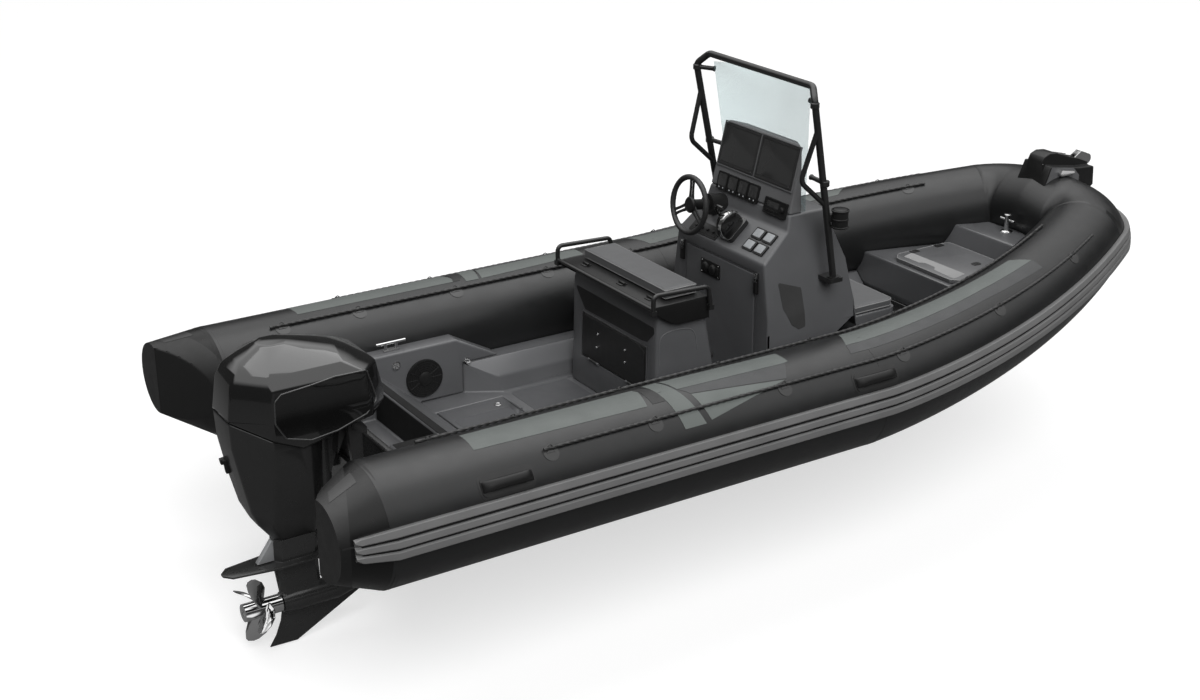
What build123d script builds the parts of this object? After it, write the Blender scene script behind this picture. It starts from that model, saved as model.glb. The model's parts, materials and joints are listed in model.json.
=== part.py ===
from build123d import *
from math import atan2, cos, degrees, hypot, pi, radians, sin
import os

os.makedirs("parts", exist_ok=True)

# Rigid inflatable boat with a centre console and one outboard motor.
# Millimetres. +X is the bow, +Y is port, +Z is up.
# The origin is on the centreline at the waterline, amidships.

# ---------------------------------------------------------------- driving sizes
SEAT_GAP = 0.3          # glued or clamped pieces lie this far from what carries them

DECK_UNDER = 50         # top of the hull under the sole
SOLE_Z = 70             # walking surface

# Buoyancy tube
TUBE_R = 302            # radius of the straight run
TUBE_BOW_R = 258        # radius across the bow
TUBE_Y = 967            # half the spacing of the two straight axes
TUBE_Z = 300            # height of the straight axes
TAIL_LENGTH = 266       # tapered tail, its outboard side running straight on
TAIL_OVERHANG = 364     # from the transom to the ring where the tail is joined on
END_R = 193
END_LIFT = 44           # how far the tail's axis climbs
CAP_SLANT = 33.7        # degrees that the end cap looks inboard
CAP_SHARE = 0.857       # share of the tail left on the axis
BOW_TURN = 26.2         # degrees of the long bow arc
BOW_X = 2593            # axis of the run across the bow
BOW_HALF_RUN = 204      # half the straight run across the bow
BOW_CORNER_R = 275      # axis radius of the bow corners
BOW_RISE = 333          # how far the axis climbs from the straight run to the stem
RISE_POWER = 1.25
LONG_ARC_STEPS = 8
CORNER_STEPS = 4

# Rubbing strake
STRAKE_OVERHANG = 536   # from the transom to the strake's full section
STRAKE_TIP = 26         # the ribs' pointed ends, aft of that
STRAKE_TIP_SHARE = 0.25 # how wide and deep a rib is at its point
STRAKE_DEPTH = 30
STRAKE_GROOVE = 14
STRAKE_EDGE = 1.2       # degrees taken by the slope at a rib's edge
STRAKE_RIBS = (         # ring angles of each rib's two edges
    (-4.8, 3.6),
    (4.8, 12.4),
    (13.6, 22.0),
)

# Grab lines and carry handles
LINE_R = 7
LINE_RUNS = (           # ring angle, first x, last x
    (113, -2300, 2080),
    (52, -1800, 2150),
)
HANDLE_X = (-2030, 150)
HANDLE_ANGLE = 34
HANDLE_LENGTH = 270
HANDLE_PAD = (5, 9.5)   # pad thickness and half width in degrees
HANDLE_BAR = (24, 36, 3.0)  # bar underside, bar top, half width in degrees
HANDLE_POST = 34

# Hull
TRANSOM_X = -2250       # aft face of the transom
HULL_SECTIONS = (       # x, keel z, chine y, chine z, shoulder y, top z
    (TRANSOM_X, -345, 800, -70, 860, DECK_UNDER),
    (-600, -350, 800, -60, 860, DECK_UNDER),
    (700, -330, 780, -15, 840, DECK_UNDER),
    (BOW_X - 1093, -235, 640, 90, 700, 140),
    (BOW_X - 493, -60, 430, 250, 500, 300),
    (BOW_X - 33, 270, 150, 372, 200, 420),
)
RAIL_SHARES = (0.36, 0.70)  # spray rails: share of the way from keel to chine
RAIL_W = 34
RAIL_DROP = 22
RAIL_ROOT = 8           # how deep the rails are let into the hull

# Stern mouldings
TRANSOM_T = 45
TRANSOM_TOP = 350
WELL_FLOOR = 150
WELL_HALF = 350
WELL_FRONT_X = TRANSOM_X + 310
AFT_DECK_X = TRANSOM_X + 355
AFT_STEP_X = TRANSOM_X + 690
QUARTER_TOP = 398
QUARTER_FACE_Y = 570
QUARTER_FRONT_X = TRANSOM_X + 920
QUARTER_SLOPE = 270
COAMING_AFT_X = TRANSOM_X + 960     # where the coaming starts at the quarter's face
COAMING_FOOT_X = TRANSOM_X + 1150   # where it starts at its own foot

# Cockpit sole and side coamings
COAMING = (             # y, z of the inboard side, from the foot up
    (460, SOLE_Z),
    (472, 165),
    (560, 250),
)
COAMING_OUT_Y = 700     # its hidden outboard side
TROUGH_HALF = 440       # half width of the sunk middle of the hull under the sole
HATCH_X = (TRANSOM_X + 705, TRANSOM_X + 1110)
HATCH_HALF = 410
HATCH_GAP = 5
BILGE_DEPTH = 110
BILGE_LIP = 30

# Foredeck
FOREDECK_X = BOW_X - 1033
FOREDECK_Z = 400
STEP_X = BOW_X - 463
STEP_Z = 535
STEP_BEVEL = 45
FOREDECK_END_X = BOW_X - 173
LOCKER_X = (BOW_X - 913, BOW_X - 553)
LOCKER_HALF = 250
LOCKER_FLOOR = 190
LID_X = (BOW_X - 1003, BOW_X - 518)
LID_HALF = 290
LID_NOSE = 55           # corner taken off at the lid's aft end
LID_T = 26

# Console
CONSOLE_SIDE = (        # x, z from the aft foot round to the front foot
    (50, SOLE_Z),
    (40, 860),
    (213, 1011),
    (235, 1100),
    (500, 1100),
    (540, 960),
    (612, 800),
    (640, 640),
    (690, 400),
    (700, SOLE_Z),
)
CONSOLE_FRONT = (       # half width, z
    (452, SOLE_Z),
    (464, 165),
    (473, 420),
    (403, 860),
    (365, 1100),
)
CONSOLE_WALL = 16
HATCH_PANEL_HALF = 318
HATCH_PANEL_Z = (125, 785)
PANEL_T = 18
PANEL_GAP = 5

# Display pod on the console
POD_Z = (1100, 1470)
POD_HALF = (362, 345)
POD_DEPTH = (185, 62)
POD_LEAN = 0.245        # mm forward for each mm up on its aft face
SCREEN_W = 328
SCREEN_H = 236
SCREEN_T = 6

# Steering wheel
WHEEL_CENTRE = (-12, 225, 1046)
WHEEL_TILT = 8          # degrees that the wheel looks up
WHEEL_R = 170
RIM_R = 14
HUB_R = 42

# Windscreen and hoop
HOOP_TUBE_R = 19
GUARD_TUBE_R = 14
HOOP_FOOT = (446, 500, 748)
HOOP_SHOULDER = (236, 527, 1761)
HOOP_TOP = (275, 459, 1826)
HOOP_BEND = 48

# Leaning post
POST_SIDE = (           # x, z
    (-672, SOLE_Z),
    (-662, 690),
    (-640, 765),
    (-375, 765),
    (-345, 640),
    (-296, 385),
    (-285, SOLE_Z),
)
POST_HALF = (425, 412)  # half width at the foot and at the top
POST_WALL = 16
POST_DOOR_HALF = 315
POST_DOOR_Z = (255, 510)
CUSHION_X = (-612, -388)
CUSHION_T = 62
TRAY_X = (-712, -365)
TRAY_HALF = 452
TRAY_T = 22
RAIL_R = 12.5
POST_RAIL_Y = 473

# Forward seat ahead of the console
FORWARD_SEAT_X = (700, 1070)
FORWARD_SEAT_HALF = 352
FORWARD_SEAT_Z = 400
PAD_T = 52

# Bow fittings, counted from the bow's axis and the top of its tube
BOW_TOP = TUBE_Z + BOW_RISE + TUBE_BOW_R
HOUSING_SIDE = (        # x, z of the wide lower body
    (-146, -191),
    (-146, -63),
    (-91, 60),
    (166, 14),
    (293, 6),
    (303, -114),
    (227, -166),
)
HOUSING_RIDGE = (       # x, z of the narrow raised middle
    (-123, -41),
    (-120, 81),
    (-103, 111),
    (-58, 127),
    (7, 121),
    (118, 81),
    (210, 55),
    (287, 24),
    (287, -41),
)
HOUSING_HALF = 114
RIDGE_HALF = 62
FAIRLEAD_BACK = 177
FAIRLEAD_RISE = -6
FAIRLEAD_HALF = 25
FAIRLEAD_CUT = 130      # length and depth of the slot in the housing
FAIRLEAD_DEEP = 75
FAIRLEAD_PLATE = 5
FAIRLEAD_CHEEK = (      # x, z from the slot's aft lower corner
    (2, SEAT_GAP),
    (20, 53),
    (90, 93),
    (135, 75),
    (178, 45),
    (170, 10),
    (120, SEAT_GAP),
)
ROLLER_AT = (332, 26)
ROLLER_R = 33
ROLLER_GAP = 1
AXLE_R = 6
NAV_LIGHT = (
    (-33, 14),
    (-18, 34),
    (97, 14),
    (107, -6),
    (-18, -11),
)
NAV_LIGHT_T = 20
BITT_X = BOW_X - 313
BITT_R = 17
BITT_HEIGHT = 118
BITT_BASE = (38, 8)     # radius, height
BITT_CAP = (21, 10)
BITT_BAR = (7, 116)     # radius, length
BITT_BAR_Z = 81
BOW_EYE_X = BOW_X - 263

# Stern fittings
CLEAT = (TRANSOM_X + 548, 628)
CLEAT_SPREAD = 32
CLEAT_POST_R = 9
CLEAT_HEIGHT = 46
CLEAT_HORN_R = 8
CLEAT_LENGTH = 175
CLEAT_FOOT = 15
CLEAT_BASE_T = 6
STERN_EYE = (560, 120)  # y, z
EYE_R = 7
EYE_REACH = 52
EYE_SPAN = 62
EYE_BEND = 16
EYE_PLATE = (5, 18, 20)
SPEAKER = (TRANSOM_X + 712, 218)
SPEAKER_RINGS = (       # radius, thickness
    (110, 12),
    (40, 16),
)

# Outboard motor, its x counted from the transom's aft face
TILT_AXIS = (TRANSOM_X - 40, 0, 400)
STEER_X = TRANSOM_X - 155
CLAMP_Y = (128, 158)
PLATE_OUTLINE = (       # x, z of the clamp plates
    (-SEAT_GAP, 60),
    (-SEAT_GAP, TRANSOM_TOP + SEAT_GAP),
    (26, TRANSOM_TOP + SEAT_GAP),
    (26, TRANSOM_TOP + 30),
    (-20, TILT_AXIS[2] + 36),
    (-58, TILT_AXIS[2] + 36),
    (-76, TILT_AXIS[2]),
    (-70, 300),
    (-44, 60),
)
CLAMP_WEB_T = 24
CLAMP_WEB_Z = (60, 130)
TILT_PIN_R = 18
TILT_PIN_END = 12
TILT_BARREL_R = 33
STEER_PIN_R = 26
PIVOT_CLEAR = 0.5
SWIVEL_Z = (-20, 395)
SWIVEL_R = 42
WEB_HALF = 36           # the web between tilt tube and swivel
WEB_FLAT = 56
WEB_BACK = 9
WEB_DEEP = 24
WEB_FOOT = (30, 120)
ARM_INSET = 22
ARM_FOOT_Z = 240
YOKE_T = 30             # the motor's two yokes, over and under the swivel
YOKE_R = 46
YOKE_REACH = 75
MOTOR_CLEAR = 6         # running gap between motor pieces that turn on each other
COWL_SECTIONS = (       # z, aft x, front x, half width, aft corner cut, front corner cut
    (430, -658, 132, 255, 155, 112),
    (560, -662, 130, 268, 160, 112),
    (720, -640, 98, 255, 155, 110),
    (775, -607, 5, 210, 115, 110),
    (815, -565, -80, 160, 105, 105),
    (873, -450, -310, 70, 40, 40),
)
COWL_HIDDEN = (380, -655, 132, 250, 150, 108)    # the cowl's section below its own seam
COWL_WALL = 9
BELLY_SECTIONS = (      # z, aft x, front x, half width, aft corner cut, front corner cut
    (-175, -455, -220, 62, 30, 24),
    (-60, -540, -218, 118, 55, 45),
    (30, -580, -216, 172, 85, 60),
    (200, -618, -214, 222, 120, 80),
    (400, -656, -212, 250, 150, 92),
    (560, -662, -212, 268, 160, 105),
)
SEAM = (                # x, z where cowl and leg meet
    (150, 506),
    (87, 492),
    (-349, 393),
    (-710, 563),
)
POWERHEAD = ((-520, -90), (-150, 150), (500, 770))
PEDESTAL = ((-540, -250), (-150, 150), (380, 500))
LEG_SECTIONS = (        # z, aft x, front x, half width, aft corner cut, front corner cut
    (-622, -422, -190, 26, 20, 20),
    (-470, -440, -212, 34, 28, 28),
    (-330, -458, -218, 44, 34, 34),
    (-175, -455, -220, 62, 30, 24),
)
PLATE_Z = -312          # anti-ventilation plate
PLATE_T = 12
PLATE_PLAN = (          # x, half width
    (-728, 14),
    (-690, 55),
    (-450, 92),
    (-230, 88),
    (-170, 40),
)
SKEG = (                # x, z
    (-20, -575),
    (5, -606),
    (-359, -799),
    (-509, -795),
    (-471, -736),
    (-441, -660),
    (-430, -600),
)
SKEG_T = 10
PROP_Z = -555
TORPEDO_X = (20, -430)
TORPEDO_R = 62
TORPEDO_NOSE = (        # x back from the tip, radius
    (18, 22),
    (60, 42),
    (150, TORPEDO_R),
)
TORPEDO_AFT = (60, 54)  # length and last radius of the taper at the propeller
PROP_HUB_R = 47
PROP_LENGTH = 200
PROP_SHAFT_R = 15
PROP_PITCH = 530
PROP_BLADES = 4
PROP_TURN = 8           # degrees that the first blade stands over port
BLADE = (               # radius, chord, thickness, how far aft of the hub's middle
    (38, 112, 13, 0),
    (90, 122, 10, 14),
    (140, 106, 7, 34),
    (176, 66, 5, 54),
    (188, 28, 3, 62),
)


# ---------------------------------------------------------------- helpers
def block(x, y, z, mode=Mode.ADD):
    """Box between low and high values on each axis."""
    middle = [(pair[0] + pair[1]) / 2 for pair in (x, y, z)]
    with Locations(tuple(middle)):
        Box(x[1] - x[0], y[1] - y[0], z[1] - z[0], mode=mode)


def side_prism(points, y, mode=Mode.ADD):
    """Prism of an x, z outline between two values of y."""
    with BuildSketch(Plane.XZ.offset(-y[1])) as outline:
        Polygon(*points, align=None)
    extrude(to_extrude=outline.sketch, amount=y[1] - y[0], mode=mode)


def end_prism(points, x, mode=Mode.ADD):
    """Prism of a y, z outline between two values of x."""
    with BuildSketch(Plane.YZ.offset(x[0])) as outline:
        Polygon(*points, align=None)
    extrude(to_extrude=outline.sketch, amount=x[1] - x[0], mode=mode)


def plan_prism(points, z, mode=Mode.ADD):
    """Prism of an x, y outline between two values of z."""
    with BuildSketch(Plane.XY.offset(z[0])) as outline:
        Polygon(*points, align=None)
    extrude(to_extrude=outline.sketch, amount=z[1] - z[0], mode=mode)


def both_ways(half):
    """Outline symmetric about the first axis, from its half with second value over 0."""
    return list(half) + [(a, -b) for a, b in reversed(half) if b]


def bar(points, bends, radius, mode=Mode.ADD):
    """Round bar along straight runs joined by arcs."""
    with BuildLine() as path:
        FilletPolyline(*points, radius=bends)
    first = path.line ^ 0
    with BuildSketch(first) as ring:
        Circle(radius)
    sweep(sections=ring.sketch, path=path.line, mode=mode)


def polar(radius, angle):
    """Point of a ring, with the angle in degrees up from straight outboard."""
    return (radius * cos(radians(angle)), radius * sin(radians(angle)))


# ---------------------------------------------------------------- hinges
KNUCKLE_R = 8
KNUCKLE_L = 70
HINGE_PIN_R = 4
HINGE_LUG_L = 18
HINGE_END_GAP = 0.4


def rods(centres, turn, radius, length, mode=Mode.ADD):
    """Cylinders about one hinge line."""
    with Locations(*centres):
        Cylinder(radius, length, rotation=turn, mode=mode)


def shifted(centres, turn, amount):
    """Hinge centres moved both ways along the hinge line."""
    step = (amount, 0, 0) if turn == ALONG_X else (0, amount, 0)
    return [tuple(a + sign * b for a, b in zip(centre, step)) for centre in centres for sign in (1, -1)]


ALONG_X = (0, 90, 0)
ALONG_Y = (90, 0, 0)


def hinge_fixed(centres, turn):
    """Pin and end lugs on the fixed piece, with room for the knuckle between them."""
    rods(centres, turn, KNUCKLE_R + 1, KNUCKLE_L + 2 * HINGE_END_GAP, mode=Mode.SUBTRACT)
    rods(centres, turn, HINGE_PIN_R, KNUCKLE_L + 4 * HINGE_END_GAP)
    lug_shift = (KNUCKLE_L + HINGE_LUG_L) / 2 + HINGE_END_GAP
    rods(shifted(centres, turn, lug_shift), turn, KNUCKLE_R, HINGE_LUG_L)


def hinge_moving(centres, turn):
    """Bored knuckle on the moving piece, with room for the fixed lugs."""
    lug_shift = (KNUCKLE_L + HINGE_LUG_L) / 2 + HINGE_END_GAP
    rods(shifted(centres, turn, lug_shift), turn, KNUCKLE_R + 1, HINGE_LUG_L + 2 * HINGE_END_GAP, mode=Mode.SUBTRACT)
    rods(centres, turn, KNUCKLE_R, KNUCKLE_L)
    rods(centres, turn, HINGE_PIN_R + SEAT_GAP, KNUCKLE_L + 2, mode=Mode.SUBTRACT)


LID_HINGE = [(x, LID_HALF + 5, FOREDECK_Z + 6) for x in (LID_X[0] + 170, LID_X[1] - 110)]
DECK_HINGE = [(HATCH_X[1] + HATCH_GAP / 2, y, SOLE_Z + 4) for y in (-250, 250)]


# ---------------------------------------------------------------- tube geometry
def tube_knots():
    """Rings of the port tube from the stern to the stem: x, y, z, radius, heading."""
    turn = radians(BOW_TURN)
    corner_x = BOW_X - BOW_CORNER_R
    entry_x = corner_x + BOW_CORNER_R * sin(turn)
    entry_y = BOW_HALF_RUN + BOW_CORNER_R * cos(turn)
    long_r = (TUBE_Y - entry_y) / (1 - cos(turn))
    start_x = entry_x - long_r * sin(turn)
    plan = [(TRANSOM_X - TAIL_OVERHANG, TUBE_Y, 0.0), (start_x, TUBE_Y, 0.0)]
    for step in range(1, LONG_ARC_STEPS + 1):
        a = turn * step / LONG_ARC_STEPS
        plan.append((start_x + long_r * sin(a), TUBE_Y - long_r * (1 - cos(a)), a))
    for step in range(1, CORNER_STEPS + 1):
        a = turn + (radians(90) - turn) * step / CORNER_STEPS
        plan.append((corner_x + BOW_CORNER_R * sin(a), BOW_HALF_RUN + BOW_CORNER_R * cos(a), a))
    plan.append((BOW_X, 0.0, radians(90)))
    lengths = [0.0, 0.0]
    for before, here in zip(plan[1:], plan[2:]):
        lengths.append(lengths[-1] + hypot(here[0] - before[0], here[1] - before[1]))
    knots = []
    for (x, y, heading), length in zip(plan, lengths):
        share = length / lengths[-1]
        z = TUBE_Z + BOW_RISE * share**RISE_POWER
        knots.append((x, y, z, TUBE_R + (TUBE_BOW_R - TUBE_R) * share, heading))
    return knots


KNOTS = tube_knots()
SIDE_KNOTS = KNOTS[: LONG_ARC_STEPS + 2]
BOW_KNOTS = KNOTS[LONG_ARC_STEPS + 1 :]


def knot_at(x):
    """Ring of the side tube at a given x, between two knots."""
    for low, high in zip(SIDE_KNOTS, SIDE_KNOTS[1:]):
        if x <= high[0]:
            share = (x - low[0]) / (high[0] - low[0])
            return tuple(a + (b - a) * share for a, b in zip(low, high))
    return SIDE_KNOTS[-1]


def knots_between(x0, x1):
    """Rings from x0 to x1, with every knot between them."""
    inner = [knot for knot in SIDE_KNOTS if x0 < knot[0] < x1]
    return [knot_at(x0), *inner, knot_at(x1)]


def ring_plane(knot):
    """Plane of a ring, its first axis straight outboard and its second up."""
    x, y, z, _, heading = knot
    return Plane(
        origin=(x, y, z),
        x_dir=(sin(heading), cos(heading), 0),
        z_dir=(cos(heading), -sin(heading), 0),
    )


def tube_rings(knots, extra=0.0):
    """Full circles of the tube, swelled by extra."""
    rings = []
    for knot in knots:
        with BuildSketch(ring_plane(knot)) as ring:
            Circle(knot[3] + extra)
        rings.append(ring.sketch)
    return rings


def strake_rings(knots, share=1.0):
    """Ribbed rubbing strake sections, seated on the tube, with ribs of a given share of full size."""
    rings = []
    first, last = STRAKE_RIBS[0][0], STRAKE_RIBS[-1][1]
    for knot in knots:
        seat = knot[3] + SEAT_GAP
        groove = knot[3] + STRAKE_GROOVE * share
        crest = knot[3] + STRAKE_GROOVE + (STRAKE_DEPTH - STRAKE_GROOVE) * share
        points = [polar(seat, first)]
        for low, high in STRAKE_RIBS:
            middle, half = (low + high) / 2, (high - low) / 2
            points.append(polar(groove, low))
            points.append(polar(crest, middle - (half - STRAKE_EDGE) * share))
            points.append(polar(crest, middle + (half - STRAKE_EDGE) * share))
            points.append(polar(groove, high))
        points.append(polar(seat, last))
        with BuildSketch(ring_plane(knot)) as ring:
            with BuildLine():
                Polyline(*points)
                ThreePointArc(points[-1], polar(seat, (first + last) / 2), points[0])
            make_face()
        rings.append(ring.sketch)
    return rings


def line_rings(knots, angle):
    """Grab line sections at one ring angle."""
    rings = []
    for knot in knots:
        with BuildSketch(ring_plane(knot)) as ring:
            with Locations(polar(knot[3] + SEAT_GAP + LINE_R, angle)):
                Circle(LINE_R)
        rings.append(ring.sketch)
    return rings


def band_rings(knots, angle, half, low, high):
    """Sections of a band that follows the tube between two heights over it."""
    rings = []
    for knot in knots:
        inside = knot[3] + low
        outside = knot[3] + high
        with BuildSketch(ring_plane(knot)) as ring:
            with BuildLine():
                ThreePointArc(polar(inside, angle - half), polar(inside, angle), polar(inside, angle + half))
                Line(polar(inside, angle + half), polar(outside, angle + half))
                ThreePointArc(polar(outside, angle + half), polar(outside, angle), polar(outside, angle - half))
                Line(polar(outside, angle - half), polar(inside, angle - half))
            make_face()
        rings.append(ring.sketch)
    return rings


# ---------------------------------------------------------------- buoyancy tube
with BuildPart() as tube_port:
    loft(sections=tube_rings(SIDE_KNOTS), ruled=True)

with BuildPart() as tube_bow:
    loft(sections=tube_rings(BOW_KNOTS), ruled=True)
    mirror(about=Plane.XZ)

join_x = SIDE_KNOTS[0][0]
tail_end = (join_x - TAIL_LENGTH, TUBE_Y + TUBE_R - END_R, TUBE_Z + END_LIFT, END_R, 0.0)
cap_plane = Plane(
    origin=(join_x - TAIL_LENGTH * CAP_SHARE, TUBE_Y, TUBE_Z),
    z_dir=(-cos(radians(CAP_SLANT)), -sin(radians(CAP_SLANT)), 0),
)
with BuildPart() as tube_tail_port:
    loft(sections=tube_rings([tail_end, SIDE_KNOTS[0]]), ruled=True)
    split(bisect_by=cap_plane, keep=Keep.BOTTOM)


def tail_knot(x):
    """Ring of the tail at a given x, between its end and the tube."""
    share = (x - tail_end[0]) / TAIL_LENGTH
    return tuple(a + (b - a) * share for a, b in zip(tail_end, SIDE_KNOTS[0]))


strake_x = TRANSOM_X - STRAKE_OVERHANG
strake_knots = [tail_knot(strake_x), *SIDE_KNOTS, *BOW_KNOTS[1:]]
with BuildPart() as rub_strake_port:
    tips = strake_rings([tail_knot(strake_x - STRAKE_TIP)], STRAKE_TIP_SHARE)
    loft(sections=[*tips, *strake_rings(strake_knots)], ruled=True)

with BuildPart() as grab_lines_port:
    for angle, first_x, last_x in LINE_RUNS:
        loft(sections=line_rings(knots_between(first_x, last_x), angle), ruled=True)

with BuildPart() as carry_handles_port:
    for x in HANDLE_X:
        ends = (x - HANDLE_LENGTH / 2, x + HANDLE_LENGTH / 2)
        pad_t, pad_half = HANDLE_PAD
        under, top, bar_half = HANDLE_BAR
        loft(sections=band_rings(knots_between(*ends), HANDLE_ANGLE, pad_half, SEAT_GAP, pad_t), ruled=True)
        loft(sections=band_rings(knots_between(*ends), HANDLE_ANGLE, bar_half, under, top), ruled=True)
        for post in ((ends[0], ends[0] + HANDLE_POST), (ends[1] - HANDLE_POST, ends[1])):
            rings = band_rings(knots_between(*post), HANDLE_ANGLE, bar_half - 0.4, pad_t - 2, under + 4)
            loft(sections=rings, ruled=True)

port_pieces = {
    "tube": tube_port,
    "tube_tail": tube_tail_port,
    "rub_strake": rub_strake_port,
    "grab_lines": grab_lines_port,
    "carry_handles": carry_handles_port,
}
pieces = {"tube_bow": tube_bow}
for name, piece in port_pieces.items():
    pieces[f"{name}_port"] = piece
    with BuildPart() as other_side:
        mirror(piece.part, about=Plane.XZ)
    pieces[f"{name}_starboard"] = other_side

# Swelled copy of the whole tube, to cut its seat in what it is glued to
with BuildPart() as tube_seat:
    loft(sections=tube_rings([(TRANSOM_X - 500, *SIDE_KNOTS[0][1:]), *SIDE_KNOTS[1:]], SEAT_GAP), ruled=True)
    loft(sections=tube_rings(BOW_KNOTS, SEAT_GAP), ruled=True)
    mirror(about=Plane.XZ)

# ---------------------------------------------------------------- hull

def hull_at(x, column):
    """Value of one column of the hull table at a given x."""
    for low, high in zip(HULL_SECTIONS, HULL_SECTIONS[1:]):
        if x <= high[0]:
            return low[column] + (high[column] - low[column]) * (x - low[0]) / (high[0] - low[0])
    return HULL_SECTIONS[-1][column]


hull_faces = []
for x, keel_z, chine_y, chine_z, shoulder_y, top_z in HULL_SECTIONS:
    half = ((chine_y, chine_z), (shoulder_y, top_z))
    with BuildSketch(Plane.YZ.offset(x)) as section:
        Polygon((0, keel_z), *half, *((-y, z) for y, z in reversed(half)), align=None)
    hull_faces.append(section.sketch)

with BuildPart() as hull_form:
    loft(sections=hull_faces, ruled=True)

rail_faces = {share: [] for share in RAIL_SHARES}
for x, keel_z, chine_y, chine_z, shoulder_y, top_z in HULL_SECTIONS[:-1]:
    for share in RAIL_SHARES:
        y = chine_y * share
        z = keel_z + (chine_z - keel_z) * share
        slope = (chine_z - keel_z) / chine_y
        with BuildSketch(Plane.YZ.offset(x)) as section:
            Polygon(
                (y - RAIL_W, z - slope * RAIL_W + RAIL_ROOT),
                (y, z - RAIL_DROP),
                (y, z + RAIL_ROOT),
                align=None,
            )
        rail_faces[share].append(section.sketch)

with BuildPart() as hull_shell:
    add(hull_form.part)
    for shapes in rail_faces.values():
        loft(sections=shapes, ruled=True)
    mirror(about=Plane.XZ)
    block((TRANSOM_X, TRANSOM_X + TRANSOM_T), (-TUBE_Y, TUBE_Y), (0, TRANSOM_TOP))
    block((0, FOREDECK_X), (-TROUGH_HALF, TROUGH_HALF), (DECK_UNDER, FOREDECK_Z), mode=Mode.SUBTRACT)
    block(LOCKER_X, (-LOCKER_HALF, LOCKER_HALF), (LOCKER_FLOOR, FOREDECK_Z), mode=Mode.SUBTRACT)
    block(
        (HATCH_X[0] + BILGE_LIP, HATCH_X[1] - BILGE_LIP),
        (BILGE_LIP - HATCH_HALF, HATCH_HALF - BILGE_LIP),
        (DECK_UNDER - BILGE_DEPTH, DECK_UNDER),
        mode=Mode.SUBTRACT,
    )
    add(tube_seat.part, mode=Mode.SUBTRACT)
pieces["hull_shell"] = hull_shell


# ---------------------------------------------------------------- sole, stern and foredeck mouldings
# The foredeck and stern mouldings fill the space between the hull and the tubes.
coaming_outline = [
    *COAMING,
    (COAMING_OUT_Y, COAMING[-1][1]),
    (COAMING_OUT_Y, DECK_UNDER),
    (0, DECK_UNDER),
    (0, SOLE_Z),
]
with BuildPart() as cockpit_sole:
    end_prism(coaming_outline, (COAMING_AFT_X, FOREDECK_X))
    plan_prism(
        (
            (COAMING_AFT_X - 1, 0),
            (COAMING_AFT_X - 1, QUARTER_FACE_Y),
            (COAMING_FOOT_X, COAMING[0][0] - 1),
            (COAMING_FOOT_X, 0),
        ),
        (SOLE_Z, COAMING[-1][1]),
        mode=Mode.SUBTRACT,
    )
    mirror(about=Plane.XZ)
    block((AFT_DECK_X, COAMING_AFT_X), (-TUBE_Y, TUBE_Y), (DECK_UNDER, SOLE_Z))
    hull_top = [(row[0], row[5]) for row in HULL_SECTIONS if row[0] < FOREDECK_X]
    hull_top.append((FOREDECK_X, hull_at(FOREDECK_X, 5)))
    for side in (1, -1):
        side_prism(
            [*hull_top, (FOREDECK_X, 0), (TRANSOM_X, 0)],
            sorted((side * TROUGH_HALF, side * TUBE_Y)),
            mode=Mode.SUBTRACT,
        )
    hatch_hole = [a + b for a, b in zip(HATCH_X, (-HATCH_GAP, HATCH_GAP))]
    block(
        hatch_hole,
        (-HATCH_HALF - HATCH_GAP, HATCH_HALF + HATCH_GAP),
        (DECK_UNDER, SOLE_Z),
        mode=Mode.SUBTRACT,
    )
    hinge_fixed(DECK_HINGE, ALONG_Y)
    add(tube_seat.part, mode=Mode.SUBTRACT)
pieces["cockpit_sole"] = cockpit_sole

quarter_side = (
    (AFT_DECK_X, SOLE_Z),
    (AFT_DECK_X, QUARTER_TOP),
    (QUARTER_FRONT_X, QUARTER_TOP),
    (QUARTER_FRONT_X + QUARTER_SLOPE, COAMING[-1][1]),
    (COAMING_AFT_X, SOLE_Z),
)
with BuildPart() as stern_moulding:
    block((TRANSOM_X + TRANSOM_T, AFT_DECK_X), (-TUBE_Y, TUBE_Y), (DECK_UNDER, TRANSOM_TOP))
    block(
        (TRANSOM_X + TRANSOM_T, WELL_FRONT_X),
        (-WELL_HALF, WELL_HALF),
        (WELL_FLOOR, TRANSOM_TOP),
        mode=Mode.SUBTRACT,
    )
    side_prism(
        ((AFT_DECK_X, SOLE_Z), (AFT_STEP_X, SOLE_Z), (AFT_DECK_X, TRANSOM_TOP)),
        (-QUARTER_FACE_Y, QUARTER_FACE_Y),
    )
    for side in (1, -1):
        across = sorted((side * QUARTER_FACE_Y, side * TUBE_Y))
        side_prism(quarter_side, across)
        block((TRANSOM_X + TRANSOM_T, AFT_DECK_X), across, (TRANSOM_TOP, QUARTER_TOP))
    add(tube_seat.part, mode=Mode.SUBTRACT)
    add(cockpit_sole.part, mode=Mode.SUBTRACT)
pieces["stern_moulding"] = stern_moulding


deck_x = [FOREDECK_X] + [row[0] for row in HULL_SECTIONS if FOREDECK_X < row[0] < FOREDECK_END_X] + [FOREDECK_END_X]
with BuildPart() as foredeck:
    side_prism(
        [
            *((x, hull_at(x, 5) + SEAT_GAP) for x in reversed(deck_x)),
            (FOREDECK_X, FOREDECK_Z),
            (STEP_X - STEP_BEVEL, FOREDECK_Z),
            (STEP_X, STEP_Z),
            (FOREDECK_END_X, STEP_Z),
        ],
        (-TUBE_Y, TUBE_Y),
    )
    shoulders = [(x, hull_at(x, 4)) for x in deck_x]
    plan_prism(
        both_ways(shoulders),
        (DECK_UNDER, STEP_Z + 1),
        mode=Mode.INTERSECT,
    )
    block(LOCKER_X, (-LOCKER_HALF, LOCKER_HALF), (LOCKER_FLOOR, FOREDECK_Z), mode=Mode.SUBTRACT)
    hinge_fixed(LID_HINGE, ALONG_X)
    add(tube_seat.part, mode=Mode.SUBTRACT)
pieces["foredeck"] = foredeck

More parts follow.
